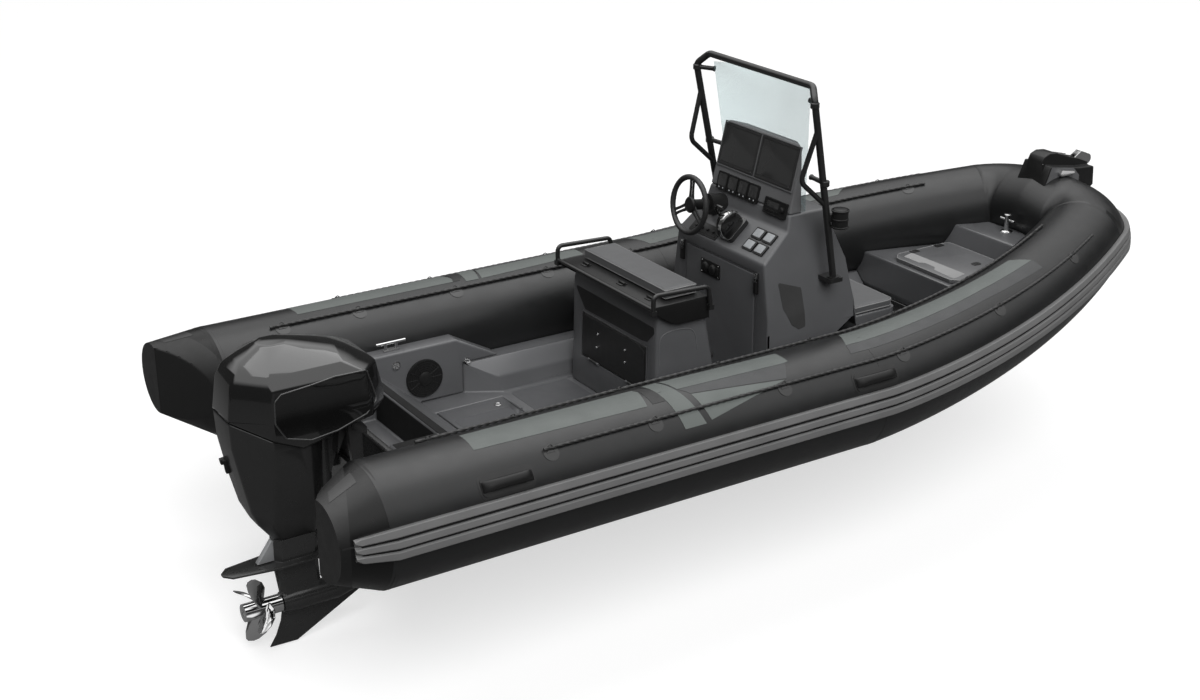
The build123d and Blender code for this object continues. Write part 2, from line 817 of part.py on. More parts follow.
# ---------------------------------------------------------------- lids in the deck
with BuildPart() as bow_locker_lid:
    lid_half = (
        (LID_X[0] + LID_NOSE, LID_HALF),
        (LID_X[1], LID_HALF),
    )
    plan_prism(
        both_ways(((LID_X[0], LID_HALF - LID_NOSE), *lid_half)),
        (FOREDECK_Z + SEAT_GAP, FOREDECK_Z + LID_T),
    )
    hinge_moving(LID_HINGE, ALONG_X)

with BuildPart() as deck_hatch:
    block(HATCH_X, (-HATCH_HALF, HATCH_HALF), (DECK_UNDER + SEAT_GAP, SOLE_Z))
    hinge_moving(DECK_HINGE, ALONG_Y)

# ---------------------------------------------------------------- console
def face_x(low, high, z):
    """x of a straight face between two x, z points."""
    return low[0] + (high[0] - low[0]) * (z - low[1]) / (high[1] - low[1])


def front_view(rows):
    """Symmetric y, z outline from rows of half width and height."""
    return [(y, z) for y, z in rows] + [(-y, z) for y, z in reversed(rows)]


def crossed(side, front, draw_in, mode=Mode.ADD):
    """Side outline crossed with a symmetric front outline, both drawn in but still open at the foot."""
    foot = min(z for _, z in side)
    side = [(x, z - 2 * draw_in if z == foot else z) for x, z in side]
    front = [(y, z - 2 * draw_in if z == foot else z) for y, z in front_view(front)]
    start = min(x for x, _ in side)
    with BuildPart(mode=Mode.PRIVATE) as form:
        with BuildSketch(Plane.XZ.offset(-front[0][0])) as outline:
            Polygon(*side, align=None)
            offset(amount=-draw_in)
        extrude(to_extrude=outline.sketch, amount=2 * front[0][0])
        with BuildSketch(Plane.YZ.offset(start)) as outline:
            Polygon(*front, align=None)
            offset(amount=-draw_in)
        extrude(to_extrude=outline.sketch, amount=max(x for x, _ in side) - start, mode=Mode.INTERSECT)
    add(form.part, mode=mode)


PANEL_FACE = [(face_x(CONSOLE_SIDE[0], CONSOLE_SIDE[1], z), z) for z in HATCH_PANEL_Z]
PANEL_HINGE = [(PANEL_FACE[0][0] - 3, y, HATCH_PANEL_Z[0] - PANEL_GAP / 2) for y in (-190, 190)]
with BuildPart() as console_shell:
    crossed(CONSOLE_SIDE, CONSOLE_FRONT, 0)
    crossed(CONSOLE_SIDE, CONSOLE_FRONT, CONSOLE_WALL, mode=Mode.SUBTRACT)
    block(
        (0, CONSOLE_SIDE[0][0] + CONSOLE_WALL + 1),
        (-HATCH_PANEL_HALF - PANEL_GAP, HATCH_PANEL_HALF + PANEL_GAP),
        (HATCH_PANEL_Z[0] - PANEL_GAP, HATCH_PANEL_Z[1] + PANEL_GAP),
        mode=Mode.SUBTRACT,
    )
    hinge_fixed(PANEL_HINGE, ALONG_Y)

with BuildPart() as console_hatch:
    side_prism(
        (*PANEL_FACE, (PANEL_FACE[1][0] + PANEL_T, HATCH_PANEL_Z[1]), (PANEL_FACE[0][0] + PANEL_T, HATCH_PANEL_Z[0])),
        (-HATCH_PANEL_HALF, HATCH_PANEL_HALF),
    )
    hinge_moving(PANEL_HINGE, ALONG_Y)

pod_aft = [face_x((213, 1011), (325, 1470), z) for z in POD_Z]
with BuildPart() as display_pod:
    side_prism(
        (
            (pod_aft[0], POD_Z[0] + SEAT_GAP),
            (pod_aft[1], POD_Z[1]),
            (pod_aft[1] + POD_DEPTH[1], POD_Z[1] - 12),
            (pod_aft[0] + POD_DEPTH[0], POD_Z[0] + SEAT_GAP),
        ),
        (-POD_HALF[0], POD_HALF[0]),
    )
    with BuildSketch(Plane.YZ) as front:
        Polygon(*front_view(((POD_HALF[0], POD_Z[0]), (POD_HALF[1], POD_Z[1]))), align=None)
    extrude(to_extrude=front.sketch, amount=CONSOLE_SIDE[-1][0], mode=Mode.INTERSECT)
    plan_prism(
        both_ways(((200, POD_HALF[0]), (318, POD_HALF[0]), (318, 330), (400, 200), (425, 200))),
        (POD_Z[0], POD_Z[1] + 1),
        mode=Mode.INTERSECT,
    )

# The upright dash face runs on from the console into the pod
DASH = Plane(
    origin=(213, 0, 1011),
    x_dir=(0, -1, 0),
    z_dir=(-cos(radians(13.7)), 0, sin(radians(13.7))),
)
dash_up = 1 / cos(radians(13.7))


def on_dash(y, z):
    """Dash coordinates of a point given by y and height."""
    return (-y, (z - 1011) * dash_up)


def dash_slab(y, z, width, height, thickness, corner):
    """Rounded slab standing on the dash face."""
    with BuildSketch(DASH.offset(SEAT_GAP)) as outline:
        with Locations(on_dash(y, z)):
            RectangleRounded(width, height, corner)
    extrude(to_extrude=outline.sketch, amount=thickness)


with BuildPart() as displays:
    for y in (SCREEN_W / 2 + 6, -SCREEN_W / 2 - 6):
        dash_slab(y, 1338, SCREEN_W, SCREEN_H, SCREEN_T, 10)

GAUGE_Y = (250, 155, 60, -35)
with BuildPart() as gauges:
    for y in GAUGE_Y:
        dash_slab(y, 1138, 82, 88, 10, 14)
    dash_slab(-245, 1110, 190, 88, 14, 6)

TIER = Plane(
    origin=(40, 0, 860),
    x_dir=(0, -1, 0),
    z_dir=(-sin(radians(41.1)), 0, cos(radians(41.1))),
)
with BuildPart() as switches:
    for y in (-205, -300):
        for up in (75, 155):
            with BuildSketch(TIER.offset(SEAT_GAP)) as outline:
                with Locations((-y, up)):
                    RectangleRounded(68, 62, 8)
            extrude(to_extrude=outline.sketch, amount=9)

with BuildPart() as throttle:
    with BuildSketch(TIER.offset(SEAT_GAP)) as outline:
        with Locations((15, 118)):
            RectangleRounded(112, 150, 20)
    extrude(to_extrude=outline.sketch, amount=46, taper=12)
    with Locations((96, -15, 1000)):
        Cylinder(34, 96, rotation=ALONG_Y)
    bar(((92, -58, 1005), (60, -58, 1075), (30, -30, 1098), (28, 20, 1100)), 12, 9)

# ---------------------------------------------------------------- windscreen and hoop
screen_rows = (         # z, side x, centre x, half width
    (1100 + SEAT_GAP, 352, 478, 352),
    (1785, 285, 432, 430),
)
SCREEN_SHEET = 6
screen_faces = []
for z, side_x, centre_x, half in screen_rows:
    with BuildSketch(Plane.XY.offset(z)) as ring:
        with BuildLine():
            ThreePointArc((side_x, half), (centre_x, 0), (side_x, -half))
            Line((side_x, -half), (side_x, -half + SCREEN_SHEET))
            ThreePointArc((side_x, -half + SCREEN_SHEET), (centre_x - SCREEN_SHEET, 0), (side_x, half - SCREEN_SHEET))
            Line((side_x, half - SCREEN_SHEET), (side_x, half))
        make_face()
    screen_faces.append(ring.sketch)
with BuildPart() as windscreen:
    loft(sections=screen_faces, ruled=True)

with BuildPart() as console_hoop:
    hoop_half = (HOOP_FOOT, HOOP_SHOULDER, HOOP_TOP)
    other_half = [(x, -y, z) for x, y, z in reversed(hoop_half)]
    bar((*hoop_half, *other_half), HOOP_BEND, HOOP_TUBE_R)
    for side in (1, -1):
        guard = ((268, 523, 1605), (186, 501, 1330), (352, 508, 1180))
        bar([(x, side * y, z) for x, y, z in guard], 60, GUARD_TUBE_R)
        with Locations((HOOP_FOOT[0], side * HOOP_FOOT[1], HOOP_FOOT[2])):
            Cylinder(34, 12)
        low, high = sorted((side * 415, side * 530))
        block((405, 490), (low, high), (722, 746))
    crossed(CONSOLE_SIDE, CONSOLE_FRONT, -SEAT_GAP, mode=Mode.SUBTRACT)

HOLDER = (420, -562, 1105)
HOLDER_R = 44
HOLDER_HEIGHT = 104
HOLDER_WALL = 6
leg_share = (HOLDER[2] - HOOP_FOOT[2]) / (HOOP_SHOULDER[2] - HOOP_FOOT[2])
leg_at_holder = [a + (b - a) * leg_share for a, b in zip(HOOP_FOOT, HOOP_SHOULDER)]
leg_dir = [b - a for a, b in zip(HOOP_FOOT, HOOP_SHOULDER)]
with BuildPart() as bottle_holder:
    with Locations(HOLDER):
        Cylinder(HOLDER_R, HOLDER_HEIGHT)
    leg_x, leg_y = leg_at_holder[0], -leg_at_holder[1]
    arm = (
        (leg_x - 10, leg_y - 8),
        (leg_x + 8, leg_y + 12),
        (HOLDER[0] + 22, HOLDER[1] + 10),
        (HOLDER[0] - 10, HOLDER[1] - 14),
    )
    plan_prism(arm, (HOLDER[2] - 20, HOLDER[2] + 20))
    with BuildSketch(Plane(origin=(leg_x, leg_y, HOLDER[2]), z_dir=(leg_dir[0], -leg_dir[1], leg_dir[2]))) as leg:
        Circle(HOOP_TUBE_R + SEAT_GAP)
    extrude(to_extrude=leg.sketch, amount=60, both=True, mode=Mode.SUBTRACT)
    with Locations((HOLDER[0], HOLDER[1], HOLDER[2] + HOLDER_WALL - HOLDER_HEIGHT / 2)):
        Cylinder(
            HOLDER_R - HOLDER_WALL,
            HOLDER_HEIGHT,
            align=(Align.CENTER, Align.CENTER, Align.MIN),
            mode=Mode.SUBTRACT,
        )

# ---------------------------------------------------------------- steering wheel
wheel_plane = Plane(
    origin=WHEEL_CENTRE,
    x_dir=(0, -1, 0),
    z_dir=(-cos(radians(WHEEL_TILT)), 0, sin(radians(WHEEL_TILT))),
)
SHAFT_TOP = 16
with BuildPart() as steering_wheel:
    with BuildSketch(Plane(wheel_plane.origin, x_dir=wheel_plane.x_dir, z_dir=wheel_plane.y_dir)) as rim:
        with Locations((WHEEL_R - RIM_R, 0)):
            Circle(RIM_R)
    revolve(profiles=rim.sketch, axis=Axis(wheel_plane.origin, wheel_plane.z_dir))
    with BuildSketch(wheel_plane.offset(-SHAFT_TOP)) as hub:
        Circle(HUB_R)
        with PolarLocations((WHEEL_R - RIM_R + HUB_R) / 2, 3, start_angle=90):
            Rectangle(WHEEL_R - RIM_R - HUB_R + 30, 30)
    extrude(to_extrude=hub.sketch, amount=18)

with BuildPart() as steering_column:
    with BuildSketch(wheel_plane.offset(-SHAFT_TOP - SEAT_GAP)) as boss:
        Circle(30)
    extrude(to_extrude=boss.sketch, amount=-270)
    with BuildSketch(wheel_plane.offset(-SHAFT_TOP - 110)) as base:
        Circle(60)
    extrude(to_extrude=base.sketch, amount=-160)
    crossed(CONSOLE_SIDE, CONSOLE_FRONT, -SEAT_GAP, mode=Mode.SUBTRACT)

# ---------------------------------------------------------------- leaning post
DOOR_FACE = [(face_x(POST_SIDE[0], POST_SIDE[1], z), z) for z in POST_DOOR_Z]
DOOR_HINGE = [(DOOR_FACE[0][0] - 3, y, POST_DOOR_Z[0] - PANEL_GAP / 2) for y in (-190, 190)]
with BuildPart() as post_shell:
    post_front = ((POST_HALF[0], POST_SIDE[0][1]), (POST_HALF[1], POST_SIDE[2][1]))
    crossed(POST_SIDE, post_front, 0)
    crossed(POST_SIDE, post_front, POST_WALL, mode=Mode.SUBTRACT)
    block(
        (POST_SIDE[0][0] - 10, POST_SIDE[0][0] + POST_WALL + 20),
        (-POST_DOOR_HALF - PANEL_GAP, POST_DOOR_HALF + PANEL_GAP),
        (POST_DOOR_Z[0] - PANEL_GAP, POST_DOOR_Z[1] + PANEL_GAP),
        mode=Mode.SUBTRACT,
    )
    hinge_fixed(DOOR_HINGE, ALONG_Y)

with BuildPart() as post_door:
    side_prism(
        (*DOOR_FACE, (DOOR_FACE[1][0] + PANEL_T, POST_DOOR_Z[1]), (DOOR_FACE[0][0] + PANEL_T, POST_DOOR_Z[0])),
        (-POST_DOOR_HALF, POST_DOOR_HALF),
    )
    hinge_moving(DOOR_HINGE, ALONG_Y)

tray_z = POST_SIDE[2][1] + SEAT_GAP
CHEEK = (               # x, z of the plates under the tray's ends
    (-735, 0),
    (-365, 0),
    (-350, -105),
    (-545, -105),
    (-600, -88),
)
with BuildPart() as seat_tray:
    block(TRAY_X, (-TRAY_HALF, TRAY_HALF), (tray_z, tray_z + TRAY_T))
    for side in (1, -1):
        low, high = sorted((side * (POST_HALF[0] + 6), side * TRAY_HALF))
        side_prism([(x, tray_z + z) for x, z in CHEEK], (low, high))

with BuildPart() as seat_cushion:
    block(CUSHION_X, (-408, 408), (tray_z + TRAY_T + SEAT_GAP, tray_z + TRAY_T + CUSHION_T))

with BuildPart() as seat_rails:
    for side in (1, -1):
        rail = ((-728, side * POST_RAIL_Y, 772), (-728, side * POST_RAIL_Y, 862), (-382, side * POST_RAIL_Y, 848), (-362, side * POST_RAIL_Y, 735))
        bar(rail, 30, RAIL_R)
    with Locations((-728, 0, 784)):
        Cylinder(RAIL_R - 2, 2 * POST_RAIL_Y, rotation=ALONG_Y)
    for x, z in ((-728, 772), (-362, 735)):
        for side in (1, -1):
            low, high = sorted((side * (TRAY_HALF + SEAT_GAP), side * (POST_RAIL_Y + RAIL_R)))
            block((x - 15, x + 15), (low, high), (z - 18, z + 8))
    add(seat_tray.part, mode=Mode.SUBTRACT)

with BuildPart() as footrest:
    for side in (1, -1):
        bar(((-300, side * 250, 330), (-165, side * 250, 330), (-165, 0, 330)), 40, RAIL_R)
    add(post_shell.part, mode=Mode.SUBTRACT)
    split(bisect_by=Plane.YZ.offset(-297), keep=Keep.TOP)

# ---------------------------------------------------------------- forward seat
with BuildPart() as forward_seat:
    block(FORWARD_SEAT_X, (-FORWARD_SEAT_HALF, FORWARD_SEAT_HALF), (SOLE_Z + SEAT_GAP, FORWARD_SEAT_Z))
    fillet(edges().filter_by(Axis.Z).group_by(Axis.X)[-1], radius=50)

with BuildPart() as forward_seat_pad:
    block(
        (FORWARD_SEAT_X[0] + 15, FORWARD_SEAT_X[1]),
        (-FORWARD_SEAT_HALF, FORWARD_SEAT_HALF),
        (FORWARD_SEAT_Z + SEAT_GAP, FORWARD_SEAT_Z + PAD_T),
    )
    fillet(edges().filter_by(Axis.Z).group_by(Axis.X)[-1], radius=50)


pieces.update(
    bow_locker_lid=bow_locker_lid, deck_hatch=deck_hatch, console_shell=console_shell,
    console_hatch=console_hatch, display_pod=display_pod, displays=displays, gauges=gauges,
    switches=switches, throttle=throttle, windscreen=windscreen, console_hoop=console_hoop,
    bottle_holder=bottle_holder, steering_wheel=steering_wheel, steering_column=steering_column,
    post_shell=post_shell, post_door=post_door, seat_tray=seat_tray, seat_cushion=seat_cushion,
    seat_rails=seat_rails, footrest=footrest, forward_seat=forward_seat, forward_seat_pad=forward_seat_pad,
)

# ---------------------------------------------------------------- bow fittings
def at_bow(points):
    """Side points counted from the axis of the bow run and the top of its tube."""
    return [(BOW_X + x, BOW_TOP + z) for x, z in points]


fairlead_x = BOW_X + FAIRLEAD_BACK
fairlead_floor = BOW_TOP + FAIRLEAD_RISE
with BuildPart() as bow_housing:
    side_prism(at_bow(HOUSING_SIDE), (-HOUSING_HALF, HOUSING_HALF))
    side_prism(at_bow(HOUSING_RIDGE), (-RIDGE_HALF, RIDGE_HALF))
    block(
        (fairlead_x, fairlead_x + FAIRLEAD_CUT),
        (-FAIRLEAD_HALF, FAIRLEAD_HALF),
        (fairlead_floor, fairlead_floor + FAIRLEAD_DEEP),
        mode=Mode.SUBTRACT,
    )
    add(tube_seat.part, mode=Mode.SUBTRACT)
pieces["bow_housing"] = bow_housing

cheek_half = FAIRLEAD_HALF - SEAT_GAP
roller_axle = (BOW_X + ROLLER_AT[0], 0, BOW_TOP + ROLLER_AT[1])
with BuildPart() as bow_fairlead:
    block(
        (fairlead_x + FAIRLEAD_CHEEK[0][0], fairlead_x + FAIRLEAD_CHEEK[-1][0]),
        (-cheek_half, cheek_half),
        (fairlead_floor + SEAT_GAP, fairlead_floor + FAIRLEAD_PLATE),
    )
    for side in (1, -1):
        across = sorted((side * cheek_half, side * (cheek_half - FAIRLEAD_PLATE)))
        side_prism([(fairlead_x + x, fairlead_floor + z) for x, z in FAIRLEAD_CHEEK], across)
    with Locations(roller_axle):
        Cylinder(AXLE_R, 2 * cheek_half, rotation=ALONG_Y)
pieces["bow_fairlead"] = bow_fairlead

with BuildPart() as bow_roller:
    with Locations(roller_axle):
        Cylinder(ROLLER_R, 2 * (cheek_half - FAIRLEAD_PLATE - ROLLER_GAP), rotation=ALONG_Y)
        Cylinder(AXLE_R + SEAT_GAP, 2 * FAIRLEAD_HALF, rotation=ALONG_Y, mode=Mode.SUBTRACT)
pieces["bow_roller"] = bow_roller

with BuildPart() as nav_lights:
    for side in (1, -1):
        across = sorted((side * (HOUSING_HALF + SEAT_GAP), side * (HOUSING_HALF + NAV_LIGHT_T)))
        side_prism(at_bow(NAV_LIGHT), across)
pieces["nav_lights"] = nav_lights

with BuildPart() as mooring_bitt:
    with Locations((BITT_X, 0, STEP_Z + SEAT_GAP)):
        Cylinder(*BITT_BASE, align=(Align.CENTER, Align.CENTER, Align.MIN))
        Cylinder(BITT_R, BITT_HEIGHT, align=(Align.CENTER, Align.CENTER, Align.MIN))
    with Locations((BITT_X, 0, STEP_Z + SEAT_GAP + BITT_HEIGHT)):
        Cylinder(*BITT_CAP, align=(Align.CENTER, Align.CENTER, Align.MAX))
    with Locations((BITT_X, 0, STEP_Z + BITT_BAR_Z)):
        Cylinder(*BITT_BAR, rotation=ALONG_Y)
pieces["mooring_bitt"] = mooring_bitt

# ---------------------------------------------------------------- stern fittings
with BuildPart() as stern_cleats:
    for side in (1, -1):
        y = side * CLEAT[1]
        for x in (CLEAT[0] - CLEAT_SPREAD, CLEAT[0] + CLEAT_SPREAD):
            with Locations((x, y, QUARTER_TOP + SEAT_GAP)):
                Cylinder(CLEAT_POST_R, CLEAT_HEIGHT, align=(Align.CENTER, Align.CENTER, Align.MIN))
        with Locations((CLEAT[0], y, QUARTER_TOP + CLEAT_HEIGHT)):
            Cylinder(CLEAT_HORN_R, CLEAT_LENGTH, rotation=ALONG_X)
        base_half = CLEAT_SPREAD + CLEAT_FOOT
        block(
            (CLEAT[0] - base_half, CLEAT[0] + base_half),
            (y - CLEAT_FOOT, y + CLEAT_FOOT),
            (QUARTER_TOP + SEAT_GAP, QUARTER_TOP + CLEAT_BASE_T),
        )
pieces["stern_cleats"] = stern_cleats

keel_low, keel_high = HULL_SECTIONS[-2:]
stem_rise = atan2(keel_high[1] - keel_low[1], keel_high[0] - keel_low[0])
bow_eye_z = hull_at(BOW_EYE_X, 1)
with BuildPart() as towing_eyes:
    for side in (1, -1):
        x, y, z = TRANSOM_X - SEAT_GAP, side * STERN_EYE[0], STERN_EYE[1]
        low, high = z - EYE_SPAN / 2, z + EYE_SPAN / 2
        bar(((x, y, low), (x - EYE_REACH, y, low), (x - EYE_REACH, y, high), (x, y, high)), EYE_BEND, EYE_R)
        block((x - EYE_PLATE[0], x), (y - EYE_PLATE[1], y + EYE_PLATE[1]), (low - EYE_PLATE[2], high + EYE_PLATE[2]))
    out = (sin(stem_rise), -cos(stem_rise))
    along = (cos(stem_rise), sin(stem_rise))
    eye_path = [
        (BOW_EYE_X + out[0] * reach + along[0] * shift, 0, bow_eye_z + out[1] * reach + along[1] * shift)
        for reach, shift in (
            (-EYE_REACH, -EYE_SPAN / 2), (EYE_REACH, -EYE_SPAN / 2), (EYE_REACH, EYE_SPAN / 2), (-EYE_REACH, EYE_SPAN / 2),
        )
    ]
    bar(eye_path, EYE_BEND, EYE_R)
    add(hull_form.part, mode=Mode.SUBTRACT)
pieces["towing_eyes"] = towing_eyes

with BuildPart() as speakers:
    for side in (1, -1):
        for radius, thick in SPEAKER_RINGS:
            with Locations((SPEAKER[0], side * (QUARTER_FACE_Y - SEAT_GAP - thick / 2), SPEAKER[1])):
                Cylinder(radius, thick, rotation=ALONG_Y)
pieces["speakers"] = speakers

# ---------------------------------------------------------------- outboard motor
with BuildPart() as clamp_bracket:
    for side in (1, -1):
        across = sorted((side * CLAMP_Y[0], side * CLAMP_Y[1]))
        side_prism([(TRANSOM_X + x, z) for x, z in PLATE_OUTLINE], across)
    block((TRANSOM_X - CLAMP_WEB_T, TRANSOM_X - SEAT_GAP), (-CLAMP_Y[1], CLAMP_Y[1]), CLAMP_WEB_Z)
    with Locations(TILT_AXIS):
        Cylinder(TILT_PIN_R, 2 * (CLAMP_Y[1] + TILT_PIN_END), rotation=ALONG_Y)
pieces["clamp_bracket"] = clamp_bracket

barrel_half = CLAMP_Y[0] - MOTOR_CLEAR
web_front = TILT_AXIS[0] - WEB_BACK
with BuildPart() as swivel_bracket:
    with Locations(TILT_AXIS):
        Cylinder(TILT_BARREL_R, 2 * barrel_half, rotation=ALONG_Y)
    with Locations((STEER_X, 0, SWIVEL_Z[0])):
        Cylinder(SWIVEL_R, SWIVEL_Z[1] - SWIVEL_Z[0], align=(Align.CENTER, Align.CENTER, Align.MIN))
    side_prism(
        (
            (STEER_X, SWIVEL_Z[1]),
            (STEER_X + WEB_FLAT, SWIVEL_Z[1]),
            (web_front, TILT_AXIS[2] + WEB_DEEP),
            (web_front, TILT_AXIS[2] - WEB_DEEP),
            (STEER_X + WEB_FOOT[0], WEB_FOOT[1]),
            (STEER_X, WEB_FOOT[1]),
        ),
        (-WEB_HALF, WEB_HALF),
    )
    for side in (1, -1):
        side_prism(
            (
                (STEER_X + WEB_FLAT, SWIVEL_Z[1]),
                (web_front, TILT_AXIS[2] + WEB_DEEP),
                (web_front, TILT_AXIS[2] - WEB_DEEP),
                (STEER_X + SWIVEL_R, ARM_FOOT_Z),
            ),
            sorted((side * (barrel_half - ARM_INSET), side * WEB_HALF)),
        )
    with Locations(TILT_AXIS):
        Cylinder(TILT_PIN_R + PIVOT_CLEAR, 2 * CLAMP_Y[1], rotation=ALONG_Y, mode=Mode.SUBTRACT)
    with Locations((STEER_X, 0, SWIVEL_Z[0])):
        Cylinder(
            STEER_PIN_R + PIVOT_CLEAR,
            SWIVEL_Z[1] - SWIVEL_Z[0],
            align=(Align.CENTER, Align.CENTER, Align.MIN),
            mode=Mode.SUBTRACT,
        )
pieces["swivel_bracket"] = swivel_bracket


def motor_rings(rows, draw_in=0.0):
    """Eight sided plan sections, from rows of z, aft x, front x, half width and the two corner cuts."""
    rings = []
    for z, aft, front, half, aft_cut, front_cut in rows:
        aft, front, half = TRANSOM_X + aft + draw_in, TRANSOM_X + front - draw_in, half - draw_in
        outline = ((aft, half - aft_cut), (aft + aft_cut, half), (front - front_cut, half), (front, half - front_cut))
        with BuildSketch(Plane.XY.offset(z)) as ring:
            Polygon(*outline, *((x, -y) for x, y in reversed(outline)), align=None)
        rings.append(ring.sketch)
    return rings


seam = [(TRANSOM_X + x, z) for x, z in SEAM]
seam_tray = [*seam[:3], *((x, z + COWL_WALL) for x, z in reversed(seam[:3]))]
cowl_rows = (COWL_HIDDEN, *COWL_SECTIONS)
cowl_half = max(row[3] for row in cowl_rows)
above_seam = [*seam, (seam[3][0], COWL_SECTIONS[-1][0]), (seam[0][0], COWL_SECTIONS[-1][0])]
below_seam = [*((x, z - SEAT_GAP) for x, z in seam), (seam[3][0], PROP_Z), (seam[0][0], PROP_Z)]
with BuildPart() as engine_cowl:
    loft(sections=motor_rings(cowl_rows), ruled=True)
    side_prism(above_seam, (-cowl_half, cowl_half), mode=Mode.INTERSECT)
    inner = [(z - COWL_WALL * (z == COWL_SECTIONS[-1][0]), *rest) for z, *rest in cowl_rows]
    loft(sections=motor_rings(inner, COWL_WALL), ruled=True, mode=Mode.SUBTRACT)
    with BuildPart(mode=Mode.PRIVATE) as tray:
        loft(sections=motor_rings(cowl_rows), ruled=True)
        side_prism(seam_tray, (-cowl_half, cowl_half), mode=Mode.INTERSECT)
        belly_front = TRANSOM_X + BELLY_SECTIONS[-1][2]
        block(
            (seam[3][0], belly_front + MOTOR_CLEAR),
            (-cowl_half, cowl_half),
            (0, COWL_SECTIONS[-1][0]),
            mode=Mode.SUBTRACT,
        )
    add(tray.part)
pieces["engine_cowl"] = engine_cowl


def from_transom(pair):
    """Two x counted from the transom."""
    return (TRANSOM_X + pair[0], TRANSOM_X + pair[1])


with BuildPart() as powerhead:
    block(from_transom(POWERHEAD[0]), POWERHEAD[1], (POWERHEAD[2][0] + SEAT_GAP, POWERHEAD[2][1]))
pieces["powerhead"] = powerhead

upright = (Align.CENTER, Align.CENTER, Align.MIN)
yokes = (
    (SWIVEL_Z[0] - YOKE_T - MOTOR_CLEAR, SWIVEL_Z[0] - MOTOR_CLEAR),
    (SWIVEL_Z[1] + MOTOR_CLEAR, SWIVEL_Z[1] + YOKE_T),
)
with BuildPart() as midsection:
    loft(sections=motor_rings(BELLY_SECTIONS), ruled=True)
    side_prism(below_seam, (-cowl_half, cowl_half), mode=Mode.INTERSECT)
    block(from_transom(PEDESTAL[0]), *PEDESTAL[1:])
    with Locations((STEER_X, 0, yokes[0][0])):
        Cylinder(STEER_PIN_R, yokes[1][1] - yokes[0][0], align=upright)
    for low, high in yokes:
        block((STEER_X - YOKE_REACH, STEER_X), (-YOKE_R, YOKE_R), (low, high))
        with Locations((STEER_X, 0, low)):
            Cylinder(YOKE_R, high - low, align=upright)
pieces["midsection"] = midsection

torpedo_tip, torpedo_end = TRANSOM_X + TORPEDO_X[0], TRANSOM_X + TORPEDO_X[1]
with BuildPart() as gearcase:
    loft(sections=motor_rings([*LEG_SECTIONS[:-1], (LEG_SECTIONS[-1][0] - SEAT_GAP, *LEG_SECTIONS[-1][1:])]), ruled=True)
    plate = both_ways([(TRANSOM_X + x, half) for x, half in PLATE_PLAN])
    plan_prism(plate, (PLATE_Z - PLATE_T / 2, PLATE_Z + PLATE_T / 2))
    side_prism([(TRANSOM_X + x, z) for x, z in SKEG], (-SKEG_T / 2, SKEG_T / 2))
    with BuildSketch(Plane.XZ) as torpedo:
        with BuildLine():
            Polyline(
                (torpedo_tip, PROP_Z),
                *((torpedo_tip - back, PROP_Z + radius) for back, radius in TORPEDO_NOSE),
                (torpedo_end + TORPEDO_AFT[0], PROP_Z + TORPEDO_R),
                (torpedo_end, PROP_Z + TORPEDO_AFT[1]),
                (torpedo_end, PROP_Z),
                close=True,
            )
        make_face()
    revolve(profiles=torpedo.sketch, axis=Axis((0, 0, PROP_Z), (1, 0, 0)))
    shaft = PROP_LENGTH + MOTOR_CLEAR
    with Locations((torpedo_end - shaft / 2 + MOTOR_CLEAR, 0, PROP_Z)):
        Cylinder(PROP_SHAFT_R, shaft, rotation=ALONG_X)
pieces["gearcase"] = gearcase

prop_x = torpedo_end - MOTOR_CLEAR - PROP_LENGTH / 2
with BuildPart() as propeller:
    with Locations((prop_x, 0, PROP_Z)):
        Cylinder(PROP_HUB_R, PROP_LENGTH, rotation=ALONG_X)
    for blade in range(PROP_BLADES):
        turn = radians(PROP_TURN + blade * 360 / PROP_BLADES)
        across = (0, cos(turn), sin(turn))
        stations = []
        for radius, chord, thick, aft in BLADE:
            face = Plane(
                origin=(prop_x - aft, radius * across[1], PROP_Z + radius * across[2]),
                x_dir=(1, 0, 0),
                z_dir=across,
            )
            slope = atan2(PROP_PITCH, 2 * pi * max(radius, PROP_HUB_R))
            with BuildSketch(face) as station:
                Rectangle(chord, thick, rotation=degrees(slope))
            stations.append(station.sketch)
        loft(sections=stations, ruled=True)
    with Locations((prop_x, 0, PROP_Z)):
        Cylinder(PROP_SHAFT_R + PIVOT_CLEAR, PROP_LENGTH, rotation=ALONG_X, mode=Mode.SUBTRACT)
pieces["propeller"] = propeller

for name, piece in pieces.items():
    piece.part.label = name
    export_step(piece.part, f"parts/{name}.step")
    print(name, piece.part.is_valid, round(piece.part.volume / 1e6, 1), len(piece.part.solids()))
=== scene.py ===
import json
from math import asin, cos, degrees, pi, radians, sin, tan

import bmesh
import bpy
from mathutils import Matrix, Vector
from mathutils.bvhtree import BVHTree


